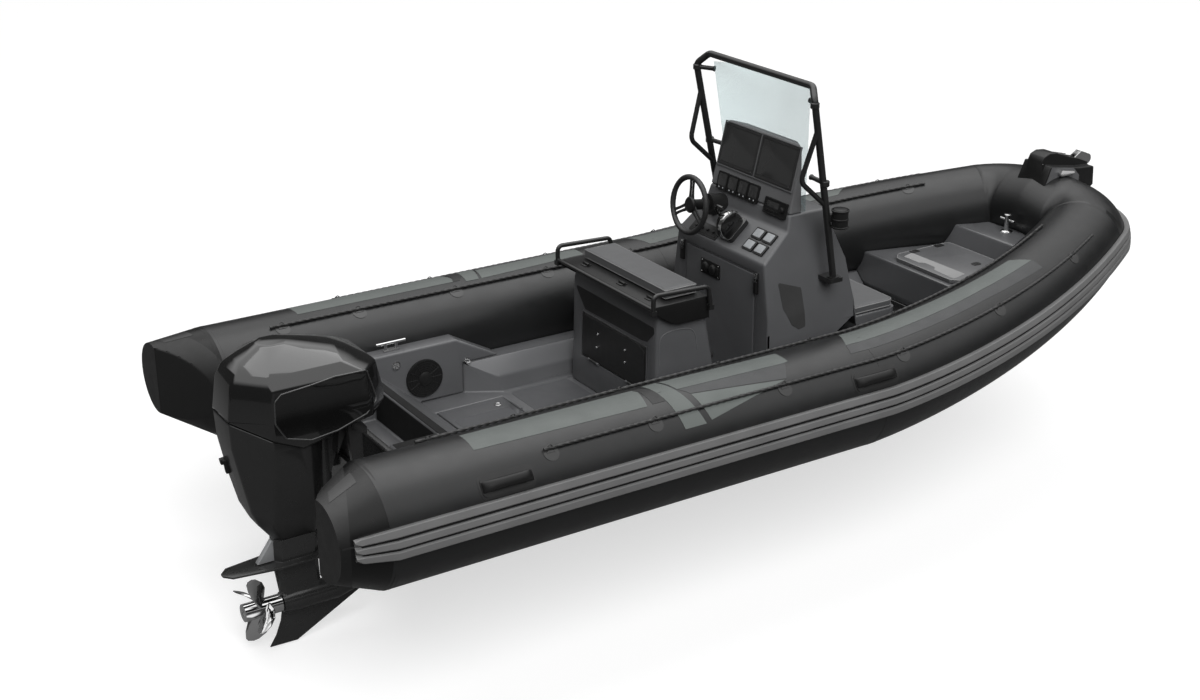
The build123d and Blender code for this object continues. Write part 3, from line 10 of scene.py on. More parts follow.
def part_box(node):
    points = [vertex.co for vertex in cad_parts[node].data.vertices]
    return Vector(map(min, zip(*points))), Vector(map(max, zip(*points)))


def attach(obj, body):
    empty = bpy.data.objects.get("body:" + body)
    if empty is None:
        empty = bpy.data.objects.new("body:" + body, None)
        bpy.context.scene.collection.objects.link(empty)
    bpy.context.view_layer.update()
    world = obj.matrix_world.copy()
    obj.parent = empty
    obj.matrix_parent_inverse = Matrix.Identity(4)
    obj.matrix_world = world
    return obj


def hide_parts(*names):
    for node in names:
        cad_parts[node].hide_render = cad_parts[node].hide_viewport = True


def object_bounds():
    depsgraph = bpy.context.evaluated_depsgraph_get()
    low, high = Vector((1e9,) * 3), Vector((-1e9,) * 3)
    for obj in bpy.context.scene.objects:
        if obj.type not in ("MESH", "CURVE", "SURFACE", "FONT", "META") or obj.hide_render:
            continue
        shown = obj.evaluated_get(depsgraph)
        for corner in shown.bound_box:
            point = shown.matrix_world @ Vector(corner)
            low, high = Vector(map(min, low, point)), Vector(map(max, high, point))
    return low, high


# Rigid inflatable boat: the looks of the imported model. Metres, +X bow, +Y port, +Z up.
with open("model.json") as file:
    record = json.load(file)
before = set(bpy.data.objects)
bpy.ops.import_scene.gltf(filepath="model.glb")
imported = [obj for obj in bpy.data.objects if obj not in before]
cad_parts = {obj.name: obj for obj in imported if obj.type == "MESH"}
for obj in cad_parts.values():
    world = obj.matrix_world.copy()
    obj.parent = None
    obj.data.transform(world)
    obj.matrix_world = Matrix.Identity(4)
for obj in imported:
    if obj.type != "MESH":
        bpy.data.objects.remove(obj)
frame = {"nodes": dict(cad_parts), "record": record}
CAD_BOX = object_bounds()
NODES = frame["nodes"]
BODY_OF = {
    node: body
    for body, members in frame["record"]["behaviour"]["bodies"].items()
    for node in members
}

# ---------------- sizes shared with the frame
TUBE_R = 0.302
TUBE_BOW_R = 0.258
TUBE_Y = 0.967
TUBE_Z = 0.300
TAIL_JOIN_X = -2.614
TAIL_LENGTH = 0.266
TAIL_END_R = 0.193
TAIL_END_LIFT = 0.044
CAP_SLANT = radians(33.7)
CAP_SHARE = 0.857
TAIL_SEAM_X = -2.71     # where the tail's dark end starts on top; the dark colour of the whole tail is painted shade
TAIL_SEAM_SLANT = radians(22)
BOW_X = 2.593
BOW_HALF_RUN = 0.204
BOW_CORNER_R = 0.275
BOW_TURN = radians(26.2)
BOW_RISE = 0.333
RISE_POWER = 1.25
SEAT_GAP = 0.0003
LINE_R = 0.0088
STRAKE_RIBS = ((-4.8, 3.6), (4.8, 12.4), (13.6, 22.0))
STRAKE_EDGE = 1.2
STRAKE_DEPTH = 0.030
STRAKE_GROOVE = 0.014
TRANSOM_X = -2.250
SOLE_Z = 0.070
DASH_FOOT = (0.213, 1.011)
DASH_LEAN = radians(13.7)
TIER_FOOT = (0.040, 0.860)
TIER_RISE = radians(41.1)
WHEEL_CENTRE = Vector((-0.012, 0.225, 1.046))
WHEEL_TILT = radians(8)

# ---------------- materials
MATERIALS = {}
METRE_WAVE = 0.32           # scale at which a wave texture repeats about once a metre


def noise_node(tree, coords, scale, detail, stretch=(1, 1, 1)):
    mapping = tree.nodes.new("ShaderNodeMapping")
    mapping.inputs["Scale"].default_value = stretch
    tree.links.new(coords, mapping.inputs["Vector"])
    node = tree.nodes.new("ShaderNodeTexNoise")
    node.inputs["Scale"].default_value = scale
    node.inputs["Detail"].default_value = detail
    tree.links.new(mapping.outputs["Vector"], node.inputs["Vector"])
    return node.outputs["Fac"]


def ranged(tree, value, low, high, start=0.3, end=0.7):
    node = tree.nodes.new("ShaderNodeMapRange")
    node.inputs["From Min"].default_value = start
    node.inputs["From Max"].default_value = end
    node.inputs["To Min"].default_value = low
    node.inputs["To Max"].default_value = high
    tree.links.new(value, node.inputs["Value"])
    return node.outputs["Result"]


def computed(tree, operation, *values):
    """Result of a math node; each value is a socket or a number."""
    node = tree.nodes.new("ShaderNodeMath")
    node.operation = operation
    for socket, value in zip(node.inputs, values):
        if isinstance(value, float):
            socket.default_value = value
        else:
            tree.links.new(value, socket)
    return node.outputs[0]


def weave(tree, coords, pitch):
    """Height of crossing threads."""
    heights = []
    for direction in ("X", "Y", "Z"):
        wave = tree.nodes.new("ShaderNodeTexWave")
        wave.bands_direction = direction
        wave.inputs["Scale"].default_value = METRE_WAVE / pitch
        wave.inputs["Distortion"].default_value = 0.4
        tree.links.new(coords, wave.inputs["Vector"])
        heights.append(wave.outputs["Fac"])
    total = heights[0]
    for other in heights[1:]:
        total = computed(tree, "MAXIMUM", total, other)
    return total


def pebbles(tree, coords, size):
    """Height of a moulded non-skid pattern."""
    cells = tree.nodes.new("ShaderNodeTexVoronoi")
    cells.feature = "SMOOTH_F1"
    cells.inputs["Scale"].default_value = 1 / size
    tree.links.new(coords, cells.inputs["Vector"])
    return cells.outputs["Distance"]


BROAD = (5.0, 4.0)          # scale and detail of the mottled colour
PATCHY = (14.0, 5.0)        # of the uneven gloss
FABRIC = ("weave", 0.0011)
PATCH_CLOTH = ("weave", 0.0014)
RUBBER = ("fine", 700)
MOULDED = ("fine", 900)
SATIN = ("fine", 500)
SMOOTH = ("fine", 260)
STUDDED = ("pebble", 0.004)
VINYL = ("pebble", 0.0016)


def finish(name, colour, rough, grain=("fine", 400), bump=0.15, mottle=0.12, metal=0.0, depth=0.0004,
           coat=0.0, coat_rough=0.05, sheen=0.0, specular=0.5):
    """Procedural finish: mottled colour, uneven gloss, and a grain of its own in relief."""
    material = bpy.data.materials.new(name)
    material.use_nodes = True
    tree = material.node_tree
    shader = tree.nodes["Principled BSDF"]
    coords = tree.nodes.new("ShaderNodeTexCoord").outputs["Object"]
    broad = noise_node(tree, coords, *BROAD)
    tint = tree.nodes.new("ShaderNodeMix")
    tint.data_type = "RGBA"
    tint.inputs["A"].default_value = (*[c * (1 - mottle) for c in colour], 1)
    tint.inputs["B"].default_value = (*[min(1.0, c * (1 + mottle)) for c in colour], 1)
    tree.links.new(ranged(tree, broad, 0, 1), tint.inputs["Factor"])
    tree.links.new(tint.outputs["Result"], shader.inputs["Base Color"])
    patchy = noise_node(tree, coords, *PATCHY)
    gloss = ranged(tree, patchy, max(0.0, rough - 0.04), min(1.0, rough + 0.05))
    tree.links.new(gloss, shader.inputs["Roughness"])
    kind, size = grain
    if kind == "weave":
        height = weave(tree, coords, size)
    elif kind == "pebble":
        height = pebbles(tree, coords, size)
    elif kind == "brushed":
        height = noise_node(tree, coords, size, 2.0, (0.06, 1, 1))
    else:
        height = noise_node(tree, coords, size, 2.0)
    relief = tree.nodes.new("ShaderNodeBump")
    relief.inputs["Strength"].default_value = bump
    relief.inputs["Distance"].default_value = depth
    tree.links.new(height, relief.inputs["Height"])
    tree.links.new(relief.outputs["Normal"], shader.inputs["Normal"])
    shader.inputs["Metallic"].default_value = metal
    shader.inputs["Coat Weight"].default_value = coat
    shader.inputs["Coat Roughness"].default_value = coat_rough
    shader.inputs["Sheen Weight"].default_value = sheen
    shader.inputs["Specular IOR Level"].default_value = specular
    MATERIALS[name] = material


def grey(value, warm=0.0):
    return (value * (1 + warm), value, value * (1 - warm))


# Fabric, rubber and rope
finish("tube_fabric", grey(0.0095, -0.02), 0.32, FABRIC, 0.25, 0.10, specular=0.45)
# The tail's fabric is darker than the tube's: painted shade on the tapering tail.
finish("tail_shade_fabric", grey(0.0045), 0.30, FABRIC, 0.2, specular=0.3)
# Near-black fabric: its own colour on the band by the aft walk patch; painted shade on the tail's end cap
# and under the handle grips.
finish("dark_fabric_and_shade", grey(0.005), 0.5, FABRIC, 0.25)
finish("ring_patch", grey(0.024), 0.35, FABRIC, 0.2)
finish("tail_patch", grey(0.015), 0.35, FABRIC, 0.2)
finish("patch_light", (0.098, 0.108, 0.103), 0.55, PATCH_CLOTH, 0.3, 0.06)
finish("patch_dark", (0.036, 0.037, 0.038), 0.5, PATCH_CLOTH, 0.3, 0.06)
finish("strake_rubber", grey(0.135), 0.36, RUBBER, 0.2, 0.08)
# Near-black: painted shade in each groove of the strake and along its edges.
finish("groove_shade", grey(0.006), 0.6, RUBBER, 0.2)
finish("handle_rubber", grey(0.010), 0.4, RUBBER, 0.3)
finish("rope", grey(0.020), 0.40, ("weave", 0.0012), 0.6, 0.3)
finish("cushion_vinyl", (0.066, 0.067, 0.069), 0.5, VINYL, 0.3, 0.06, sheen=0.1)
finish("pad_vinyl", (0.062, 0.063, 0.065), 0.5, VINYL, 0.3, 0.06, sheen=0.1)
# Light grey piping: partly its own colour, partly painted highlight along the pads' edges.
finish("piping", grey(0.16), 0.40, SATIN, 0.3)
# Glass fibre and its non-skid
finish("gelcoat", (0.076, 0.077, 0.080), 0.38, SMOOTH, 0.02, 0.05, coat=0.2, coat_rough=0.22)
finish("gelcoat_light", (0.092, 0.093, 0.096), 0.38, SMOOTH, 0.02, 0.05, coat=0.15)
# Pale grey: painted highlight on the rim of the locker lid.
finish("gelcoat_highlight", grey(0.26), 0.4, ("fine", 300), 0.05, 0.05)
finish("hull_gelcoat", grey(0.012), 0.25, ("fine", 240), 0.05, coat=0.5)
# Darker grey: painted shade in the console's side hollows.
finish("shade_in_recess", grey(0.036), 0.5, SATIN, 0.15)
finish("non_skid", (0.052, 0.053, 0.056), 0.62, STUDDED, 0.6, 0.07, depth=0.0008)
finish("tread_dark", grey(0.016), 0.7, STUDDED, 0.6, depth=0.0008, specular=0.08)
finish("tread_light", grey(0.26), 0.7, STUDDED, 0.5, 0.05, depth=0.0006)
# Plastic, screens and metal
finish("black_plastic", grey(0.009), 0.38, MOULDED, 0.35, specular=0.3)
finish("black_panel", grey(0.008), 0.5, MOULDED, 0.3)
finish("bezel", grey(0.022), 0.4, MOULDED, 0.2)
finish("pod_plastic", (0.120, 0.121, 0.124), 0.40, ("fine", 800), 0.25, 0.05)
finish("button_grey", (0.30, 0.31, 0.32), 0.5, SATIN, 0.3)
finish("screen_glass", grey(0.036), 0.16, ("fine", 60), 0.02, 0.04, coat=0.4, coat_rough=0.1)
finish("lens", grey(0.55), 0.12, ("fine", 30), 0.02, coat=0.8)
finish("black_tube", grey(0.011), 0.33, SATIN, 0.12, coat=0.2, coat_rough=0.2)
finish("steel", grey(0.62), 0.16, ("brushed", 300), 0.05, 0.08, metal=1.0)
finish("chrome", grey(0.80), 0.06, ("fine", 30), 0.01, 0.04, metal=1.0)
# The motor
finish("engine_black", grey(0.0070), 0.12, ("fine", 90), 0.02, 0.1, coat=0.8, coat_rough=0.03)
finish("engine_gloss", grey(0.006), 0.07, ("fine", 60), 0.01, coat=1.0, coat_rough=0.02)
finish("engine_edge", grey(0.030), 0.18, ("fine", 300), 0.02, coat=0.8)
finish("engine_satin", grey(0.013), 0.30, SATIN, 0.06, coat=0.3, coat_rough=0.15)
finish("engine_metal", grey(0.020), 0.28, bump=0.08, coat=0.5, coat_rough=0.1)
finish("engine_block", grey(0.15), 0.5, metal=0.6)
finish("anode", (0.50, 0.51, 0.52), 0.42, ("fine", 220), 0.3, metal=0.7)

def clear_finish(name, tint, see_through, rough=0.04):
    """Thin clear sheet: mostly see-through, with its own tint and gloss."""
    material = bpy.data.materials.new(name)
    material.use_nodes = True
    tree = material.node_tree
    shader = tree.nodes["Principled BSDF"]
    output = tree.nodes["Material Output"]
    coords = tree.nodes.new("ShaderNodeTexCoord").outputs["Object"]
    smears = noise_node(tree, coords, 3.0, 3.0)
    shader.inputs["Base Color"].default_value = (*tint, 1)
    tree.links.new(ranged(tree, smears, rough, rough + 0.05), shader.inputs["Roughness"])
    through = tree.nodes.new("ShaderNodeBsdfTransparent")
    through.inputs["Color"].default_value = (*[0.80 + 0.2 * c for c in tint], 1)
    blend = tree.nodes.new("ShaderNodeMixShader")
    cover = 1 - see_through
    tree.links.new(ranged(tree, smears, cover - 0.01, cover + 0.02), blend.inputs["Fac"])
    tree.links.new(through.outputs[0], blend.inputs[1])
    tree.links.new(shader.outputs[0], blend.inputs[2])
    tree.links.new(blend.outputs[0], output.inputs["Surface"])
    MATERIALS[name] = material


clear_finish("clear_sheet", (0.64, 0.81, 0.82), 0.78)

SLOT_OF = {part["node"]: part["material_slot"] for part in frame["record"]["subparts"]}


# ---------------- mesh building
BEVELLED = radians(40)      # pieces made here are bevelled at edges sharper than this
MOULDED_EDGE = radians(30)  # and the CAD mouldings are rounded at those sharper than this


def full_turn(count):
    """Angles evenly spaced round a circle."""
    return [2 * pi * k / count for k in range(count)]


def whole(bm):
    return bm.verts[:] + bm.edges[:] + bm.faces[:]


class Builder:
    """Collects shells of one piece, then hands it to its body."""

    def __init__(self):
        self.bm = bmesh.new()

    def grid(self, rows, closed_u=False, closed_v=False):
        """Quads between rows of points."""
        made = [[self.bm.verts.new(p) for p in row] for row in rows]
        count = len(made)
        width = len(made[0])
        for i in range(count if closed_u else count - 1):
            for j in range(width if closed_v else width - 1):
                a, b = made[i], made[(i + 1) % count]
                self.bm.faces.new((a[j], a[(j + 1) % width], b[(j + 1) % width], b[j]))
        return made

    def closed(self, rows):
        """Skin round rings of points, shut at both ends."""
        made = self.grid(rows, closed_v=True)
        self.bm.faces.new(made[0])
        self.bm.faces.new(list(reversed(made[-1])))

    def lathe(self, centre, axis, profile, segments):
        """Turned form: profile of radius and height along the axis."""
        turn = Vector((0, 0, 1)).rotation_difference(Vector(axis)).to_matrix()
        self.closed([[Vector(centre) + turn @ Vector((radius * cos(a), radius * sin(a), height))
                      for a in full_turn(segments)] for radius, height in profile])

    def sweep(self, path, radius, segments, ends=True):
        """Round bar along points; the radius may differ from point to point."""
        path = [Vector(p) for p in path]
        rows = []
        up = Vector((0, 0, 1))
        for i, p in enumerate(path):
            along = (path[min(i + 1, len(path) - 1)] - path[max(i - 1, 0)]).normalized()
            if abs(along.dot(up)) > 0.95:
                up = Vector((1, 0, 0)) if abs(along.x) < 0.8 else Vector((0, 1, 0))
            side = along.cross(up).normalized()
            up = side.cross(along).normalized()
            r = radius[i] if isinstance(radius, (list, tuple)) else radius
            rows.append([p + side * r * cos(t) + up * r * sin(t) for t in full_turn(segments)])
        if ends:
            self.closed(rows)
        else:
            self.grid(rows, closed_v=True)

    def slab(self, outline, place, high, low=-0.0005, step=None):
        """Plate over a flat outline, laid on a surface by place(u, v, height)."""
        edge = [tuple(p) for p in outline]
        area = sum(a[0] * b[1] - b[0] * a[1] for a, b in zip(edge, edge[1:] + edge[:1]))
        if area < 0:
            edge.reverse()
        flat = bmesh.new()
        rim = [flat.verts.new((u, v, 0)) for u, v in edge]
        flat.faces.new(rim)
        if step:
            for axis, facing in ((0, Vector((1, 0, 0))), (1, Vector((0, 1, 0)))):
                values = [p[axis] for p in edge]
                for where in stations(min(values), max(values), step[axis])[1:-1]:
                    bmesh.ops.bisect_plane(flat, geom=whole(flat), dist=1e-7,
                                           plane_co=facing * where, plane_no=facing)
        flat.verts.index_update()
        top = [self.bm.verts.new(place(v.co.x, v.co.y, high)) for v in flat.verts]
        for face in flat.faces:
            self.bm.faces.new([top[v.index] for v in face.verts])
        border = [e for e in flat.edges if e.is_boundary]
        below = {}
        for e in border:
            for v in e.verts:
                if v.index not in below:
                    below[v.index] = self.bm.verts.new(place(v.co.x, v.co.y, low))
        for e in border:
            loop = e.link_loops[0]
            a, b = loop.vert.index, loop.link_loop_next.vert.index
            self.bm.faces.new((top[b], top[a], below[a], below[b]))
        flat.free()

    def done(self, name, body, slot, finish_name=None, crease=32, bevel=0.0, replaces=()):
        """Hands the piece over, in its slot's own finish if none is named. Edges past crease stay hard."""
        bmesh.ops.recalc_face_normals(self.bm, faces=self.bm.faces)
        if bevel:
            sharp = [e for e in self.bm.edges if e.is_manifold and e.calc_face_angle(0) > BEVELLED]
            bmesh.ops.bevel(self.bm, geom=sharp, offset=bevel, segments=2, profile=0.6,
                            affect="EDGES", clamp_overlap=True)
        piece = shown(name, self.bm, finish_name or slot, crease)
        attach(piece, body)
        if replaces:
            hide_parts(*replaces)
        return piece


def shown(name, bm, finish_name, crease):
    """Object over a finished mesh, smooth but for its hard edges."""
    mesh = bpy.data.meshes.new(name)
    bm.to_mesh(mesh)
    bm.free()
    mesh.shade_smooth()
    mesh.set_sharp_from_angle(angle=radians(crease))
    mesh.materials.append(MATERIALS[finish_name])
    piece = bpy.data.objects.new(name, mesh)
    bpy.context.scene.collection.objects.link(piece)
    return piece


def box_outline(u, v, width, height):
    return [(u - width / 2, v - height / 2), (u + width / 2, v - height / 2),
            (u + width / 2, v + height / 2), (u - width / 2, v + height / 2)]


def flipped(outline, side=1):
    """Outline for a face that looks aft or to a side, where u runs against the outline's own direction."""
    return [(-side * u, v) for u, v in outline]


def rounded(outline, radius, steps=5):
    """Outline with its corners turned into arcs."""
    result = []
    count = len(outline)
    for i, here in enumerate(outline):
        here = Vector(here)
        before = (Vector(outline[i - 1]) - here)
        after = (Vector(outline[(i + 1) % count]) - here)
        angle = before.angle(after)
        cut = min(radius / tan(angle / 2), before.length * 0.49, after.length * 0.49)
        start = here + before.normalized() * cut
        end = here + after.normalized() * cut
        for k in range(steps + 1):
            t = k / steps
            result.append(tuple((1 - t) ** 2 * start + 2 * t * (1 - t) * here + t ** 2 * end))
    return result


def smooth_path(points, steps=8):
    """Catmull-Rom points through a short route."""
    points = [Vector(p) for p in points]
    ends = [points[0] * 2 - points[1], *points, points[-1] * 2 - points[-2]]
    result = []
    for a, b, c, d in zip(ends, ends[1:], ends[2:], ends[3:]):
        for k in range(steps):
            t = k / steps
            result.append(0.5 * ((2 * b) + (c - a) * t + (2 * a - 5 * b + 4 * c - d) * t**2
                                 + (3 * b - a - 3 * c + d) * t**3))
    result.append(points[-1])
    return result


def on_plane(origin, across, up):
    """Placer on a flat face, its height measured along across × up."""
    origin, across, up = Vector(origin), Vector(across).normalized(), Vector(up).normalized()
    out = across.cross(up)
    return lambda u, v, h: origin + across * u + up * v + out * h


def aft_plane(x):
    """Upright plane that faces aft: origin, u to starboard and v up."""
    return (x, 0, 0), (0, -1, 0), (0, 0, 1)


def side_plane(side, y):
    """Upright plane that faces outboard."""
    return (0, side * y, 0), (-side, 0, 0), (0, 0, 1)


def level_plane(z):
    return (0, 0, z), (1, 0, 0), (0, 1, 0)


def surface_of(*objects):
    """Ray target over the shown shapes of some objects."""
    verts, polys = [], []
    for o in objects:
        base = len(verts)
        verts += [v.co.copy() for v in o.data.vertices]
        polys += [[base + i for i in p.vertices] for p in o.data.polygons]
    return BVHTree.FromPolygons(verts, polys)


def onto(tree, origin, across, up):
    """Placer that drops each point of a plane onto a surface, along the plane's own normal."""
    flat = on_plane(origin, across, up)
    inward = (flat(0, 0, 0) - flat(0, 0, 1)).normalized()

    def place(u, v, h):
        hit, _, _, _ = tree.ray_cast(flat(u, v, 0), inward)
        return flat(u, v, h) if hit is None else hit - inward * h
    return place


def soften(node, finish_name, radius, shortest, segments=3):
    """Replaces a sharp-edged moulding by the same form with rounded edges."""
    bm = bmesh.new()
    bm.from_mesh(NODES[node].data)
    bmesh.ops.remove_doubles(bm, verts=bm.verts, dist=2e-5)
    bmesh.ops.dissolve_limit(bm, angle_limit=radians(0.8), verts=bm.verts, edges=bm.edges)
    edges = [e for e in bm.edges
             if e.is_manifold and e.calc_face_angle(0) > MOULDED_EDGE and e.calc_length() > shortest]
    bmesh.ops.bevel(bm, geom=edges, offset=radius, segments=segments, profile=0.5,
                    affect="EDGES", clamp_overlap=False)
    piece = shown(f"{node}_moulding", bm, finish_name, 30)
    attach(piece, BODY_OF[node])
    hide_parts(node)
    return piece


def repaint(node, finish_name):
    """A better finish on a CAD piece whose shape stays."""
    o = NODES[node]
    o.data.materials.clear()
    o.data.materials.append(MATERIALS[finish_name])


# ---------------- tube geometry
CORNER_X = BOW_X - BOW_CORNER_R
ENTRY_X = CORNER_X + BOW_CORNER_R * sin(BOW_TURN)
ENTRY_Y = BOW_HALF_RUN + BOW_CORNER_R * cos(BOW_TURN)
LONG_R = (TUBE_Y - ENTRY_Y) / (1 - cos(BOW_TURN))
ARC_X = ENTRY_X - LONG_R * sin(BOW_TURN)
ARC_S = ARC_X - TAIL_JOIN_X
CORNER_S = ARC_S + LONG_R * BOW_TURN
RUN_S = CORNER_S + BOW_CORNER_R * (pi / 2 - BOW_TURN)
STEM_S = RUN_S + BOW_HALF_RUN


def tube_at(s):
    """Axis point, heading and radius of the port tube, s metres along it from the tail's joint."""
    if s < 0:
        k = -s / TAIL_LENGTH
        centre = Vector((TAIL_JOIN_X + s, TUBE_Y + k * (TUBE_R - TAIL_END_R), TUBE_Z + k * TAIL_END_LIFT))
        return centre, 0.0, TUBE_R + k * (TAIL_END_R - TUBE_R)
    if s <= ARC_S:
        x, y, heading = TAIL_JOIN_X + s, TUBE_Y, 0.0
    elif s <= CORNER_S:
        heading = (s - ARC_S) / LONG_R
        x, y = ARC_X + LONG_R * sin(heading), TUBE_Y - LONG_R * (1 - cos(heading))
    elif s <= RUN_S:
        heading = BOW_TURN + (s - CORNER_S) / BOW_CORNER_R
        x, y = CORNER_X + BOW_CORNER_R * sin(heading), BOW_HALF_RUN + BOW_CORNER_R * cos(heading)
    else:
        x, y, heading = BOW_X, STEM_S - s, pi / 2
    share = max(0.0, (s - ARC_S) / (STEM_S - ARC_S))
    centre = Vector((x, y, TUBE_Z + BOW_RISE * share**RISE_POWER))
    return centre, heading, TUBE_R + (TUBE_BOW_R - TUBE_R) * share


def tube_point(side, s, angle, lift=0.0):
    """Point over the tube at a ring angle in degrees, 0 straight outboard and 90 on top."""
    centre, heading, radius = tube_at(s)
    out = Vector((sin(heading), cos(heading), 0))
    point = centre + (out * cos(radians(angle)) + Vector((0, 0, sin(radians(angle))))) * (radius + lift)
    return Vector((point.x, side * point.y, point.z))


def tube_normal(side, s, angle):
    return (tube_point(side, s, angle, 0.1) - tube_point(side, s, angle)).normalized()


def on_tube(side):
    return lambda s, angle, h: tube_point(side, s, angle, h)


SIDES = {"port": 1, "starboard": -1}


def stations(start, end, step):
    count = max(1, round((end - start) / step))
    return [start + (end - start) * k / count for k in range(count + 1)]


# ---------------- buoyancy tube
RING_STEPS = 96
SEAMS = (0.0, ARC_S, CORNER_S)      # where the tube's panels meet
TAPE_HALF = 0.0185
TAPE_THICK = 0.0008
CAP_ROUND = 0.007


def tube_ring(side, s, lift=0.0):
    return [tube_point(side, s, 360 * k / RING_STEPS, lift) for k in range(RING_STEPS)]


def tube_skin(name, node, rows):
    """Smooth fabric over one length of the tube."""
    made = Builder()
    made.grid(rows, closed_v=True)
    made.done(name, "hull", "tube_fabric", crease=60, replaces=[node])


def tail_skin(side_name, side):
    """Tapered tail, cut by its slanted cap, whose rim is rounded."""
    made = Builder()
    rows = made.grid([tube_ring(side, -s) for s in stations(0, TAIL_LENGTH, 0.02)], closed_v=True)
    made.bm.faces.new(rows[-1])
    at = Vector((TAIL_JOIN_X - TAIL_LENGTH * CAP_SHARE, side * TUBE_Y, TUBE_Z))
    facing = Vector((-cos(CAP_SLANT), -side * sin(CAP_SLANT), 0))
    bmesh.ops.bisect_plane(made.bm, geom=whole(made.bm), plane_co=at, plane_no=facing, clear_outer=True)
    open_edges = [e for e in made.bm.edges if e.is_boundary and (e.verts[0].co - at).dot(facing) > -0.001]
    cap = bmesh.ops.contextual_create(made.bm, geom=open_edges)["faces"]
    rim = {e for f in cap for e in f.edges}
    bmesh.ops.bevel(made.bm, geom=list(rim), offset=CAP_ROUND, segments=3, profile=0.5, affect="EDGES")
    seam_at = Vector((TAIL_SEAM_X, side * TUBE_Y, 0))
    seam_facing = Vector((-cos(TAIL_SEAM_SLANT), -side * sin(TAIL_SEAM_SLANT), 0))
    bmesh.ops.bisect_plane(made.bm, geom=whole(made.bm), plane_co=seam_at, plane_no=seam_facing)
    # The tail and its end cap get darker finishes than the tube: painted shade.
    piece = made.done(f"tail_skin_{side_name}", "hull", "tube_fabric", "tail_shade_fabric", crease=50,
                      replaces=[f"tube_tail_{side_name}"])
    piece.data.materials.append(MATERIALS["dark_fabric_and_shade"])
    for face in piece.data.polygons:
        if (face.center - seam_at).dot(seam_facing) > 0:
            face.material_index = 1


def seam_tapes(side_name, side):
    """Tapes over the seams, their edges let into the fabric."""
    made = Builder()
    across_tape = ((-TAPE_HALF - 0.0005, -0.0003), (-TAPE_HALF, TAPE_THICK),
                   (TAPE_HALF, TAPE_THICK), (TAPE_HALF + 0.0005, -0.0003))
    for at in SEAMS:
        made.grid([tube_ring(side, at + ds, h) for ds, h in across_tape], closed_v=True)
    made.done(f"seam_tapes_{side_name}", "hull", "tube_fabric", crease=60)


def tube_patch(name, outline, finish_name, high=0.0012):
    """Glued patch on both tubes, over an outline of distance along the tube and ring angle."""
    for side_name, side in SIDES.items():
        made = Builder()
        made.slab(outline, on_tube(side), high, step=(0.06, 6))
        made.done(f"{name}_{side_name}", "hull", "tube_fabric", finish_name, crease=50)


for side_name, side in SIDES.items():
    side_rows = [tube_ring(side, s) for s in stations(0, CORNER_S, 0.05)]
    tube_skin(f"tube_skin_{side_name}", f"tube_{side_name}", side_rows)
    tail_skin(side_name, side)
    seam_tapes(side_name, side)
bow_half = [tube_ring(1, s) for s in stations(CORNER_S, STEM_S, 0.012)]
other_half = [[Vector((p.x, -p.y, p.z)) for p in row] for row in reversed(bow_half[:-1])]
tube_skin("tube_skin_bow", "tube_bow", bow_half + other_half)

PATCHES = {
    "walk_patch_aft": ("patch_light", ((0.50, 71), (0.505, 99.5), (1.455, 99.5), (1.468, 92), (1.44, 68))),
    "walk_band_aft": ("dark_fabric_and_shade", ((1.46, 99.5), (1.50, 99.5), (1.62, 69), (1.475, 69), (1.475, 92))),
    "walk_patch_mid": ("patch_light", ((1.63, 104), (2.335, 99), (2.335, 78), (2.30, 77), (1.655, 80))),
    "walk_patch_mid_dark": ("patch_dark", ((1.66, 79.5), (2.31, 76.5), (2.25, 58), (1.70, 70))),
    "walk_patch_mid_low": ("patch_light", ((1.70, 69), (2.24, 57), (1.735, 38))),
    "walk_patch_bow": ("patch_light", ((2.79, 106), (4.17, 99), (4.25, 78), (3.75, 80), (2.72, 79))),
    "walk_patch_bow_dark": ("patch_dark", ((2.72, 78.5), (3.75, 79.5), (4.25, 77.5), (4.25, 62), (3.73, 66),
                                           (2.70, 66))),
}
for name, (finish_name, outline) in PATCHES.items():
    tube_patch(name, outline, finish_name)
tube_patch("stripe", ((1.53, 104), (1.612, 104), (1.70, 36), (1.575, 36)), "patch_light", high=0.0016)

for side_name, side in SIDES.items():
    tail = Builder()
    tail.slab(box_outline(-0.2275, 13.6, 0.055, 2.0), on_tube(side), 0.0014, step=(0.02, 2))
    tail.slab([(-0.235, 78), (-0.08, 78), (-0.07, 96), (-0.205, 96)], on_tube(side), 0.0012, step=(0.02, 4))
    tail.done(f"tail_patches_{side_name}", "hull", "tube_fabric", "tail_patch", crease=50)


# ---------------- rubbing strake
GROOVE_RIM = 0.0226         # lifts of a dark line of painted shade between two ribs, at its edges and in its middle
GROOVE_FLOOR = 0.0158
EDGE_SHADE_LIFT = 0.0012          # lift of the dark lines of painted shade beside the outer ribs
STRAKE_START = TRANSOM_X - 0.536 - TAIL_JOIN_X


def strake_section(share):
    """Ring angle and lift round a rib section, its crests rounded."""
    points = [(STRAKE_RIBS[0][0], SEAT_GAP)]
    for low, high in STRAKE_RIBS:
        middle, half = (low + high) / 2, (high - low) / 2
        groove = STRAKE_GROOVE * share
        crest = STRAKE_GROOVE + (STRAKE_DEPTH - STRAKE_GROOVE) * share
        shoulder = crest * 0.86 + groove * 0.14
        inner = (half - STRAKE_EDGE) * share
        points += [(low, groove), (middle - inner - 0.35, shoulder)]
        points += [(middle - inner * 0.9, crest), (middle, crest), (middle + inner * 0.9, crest)]
        points += [(middle + inner + 0.35, shoulder), (high, groove)]
    points.append((STRAKE_RIBS[-1][1], SEAT_GAP))
    return points


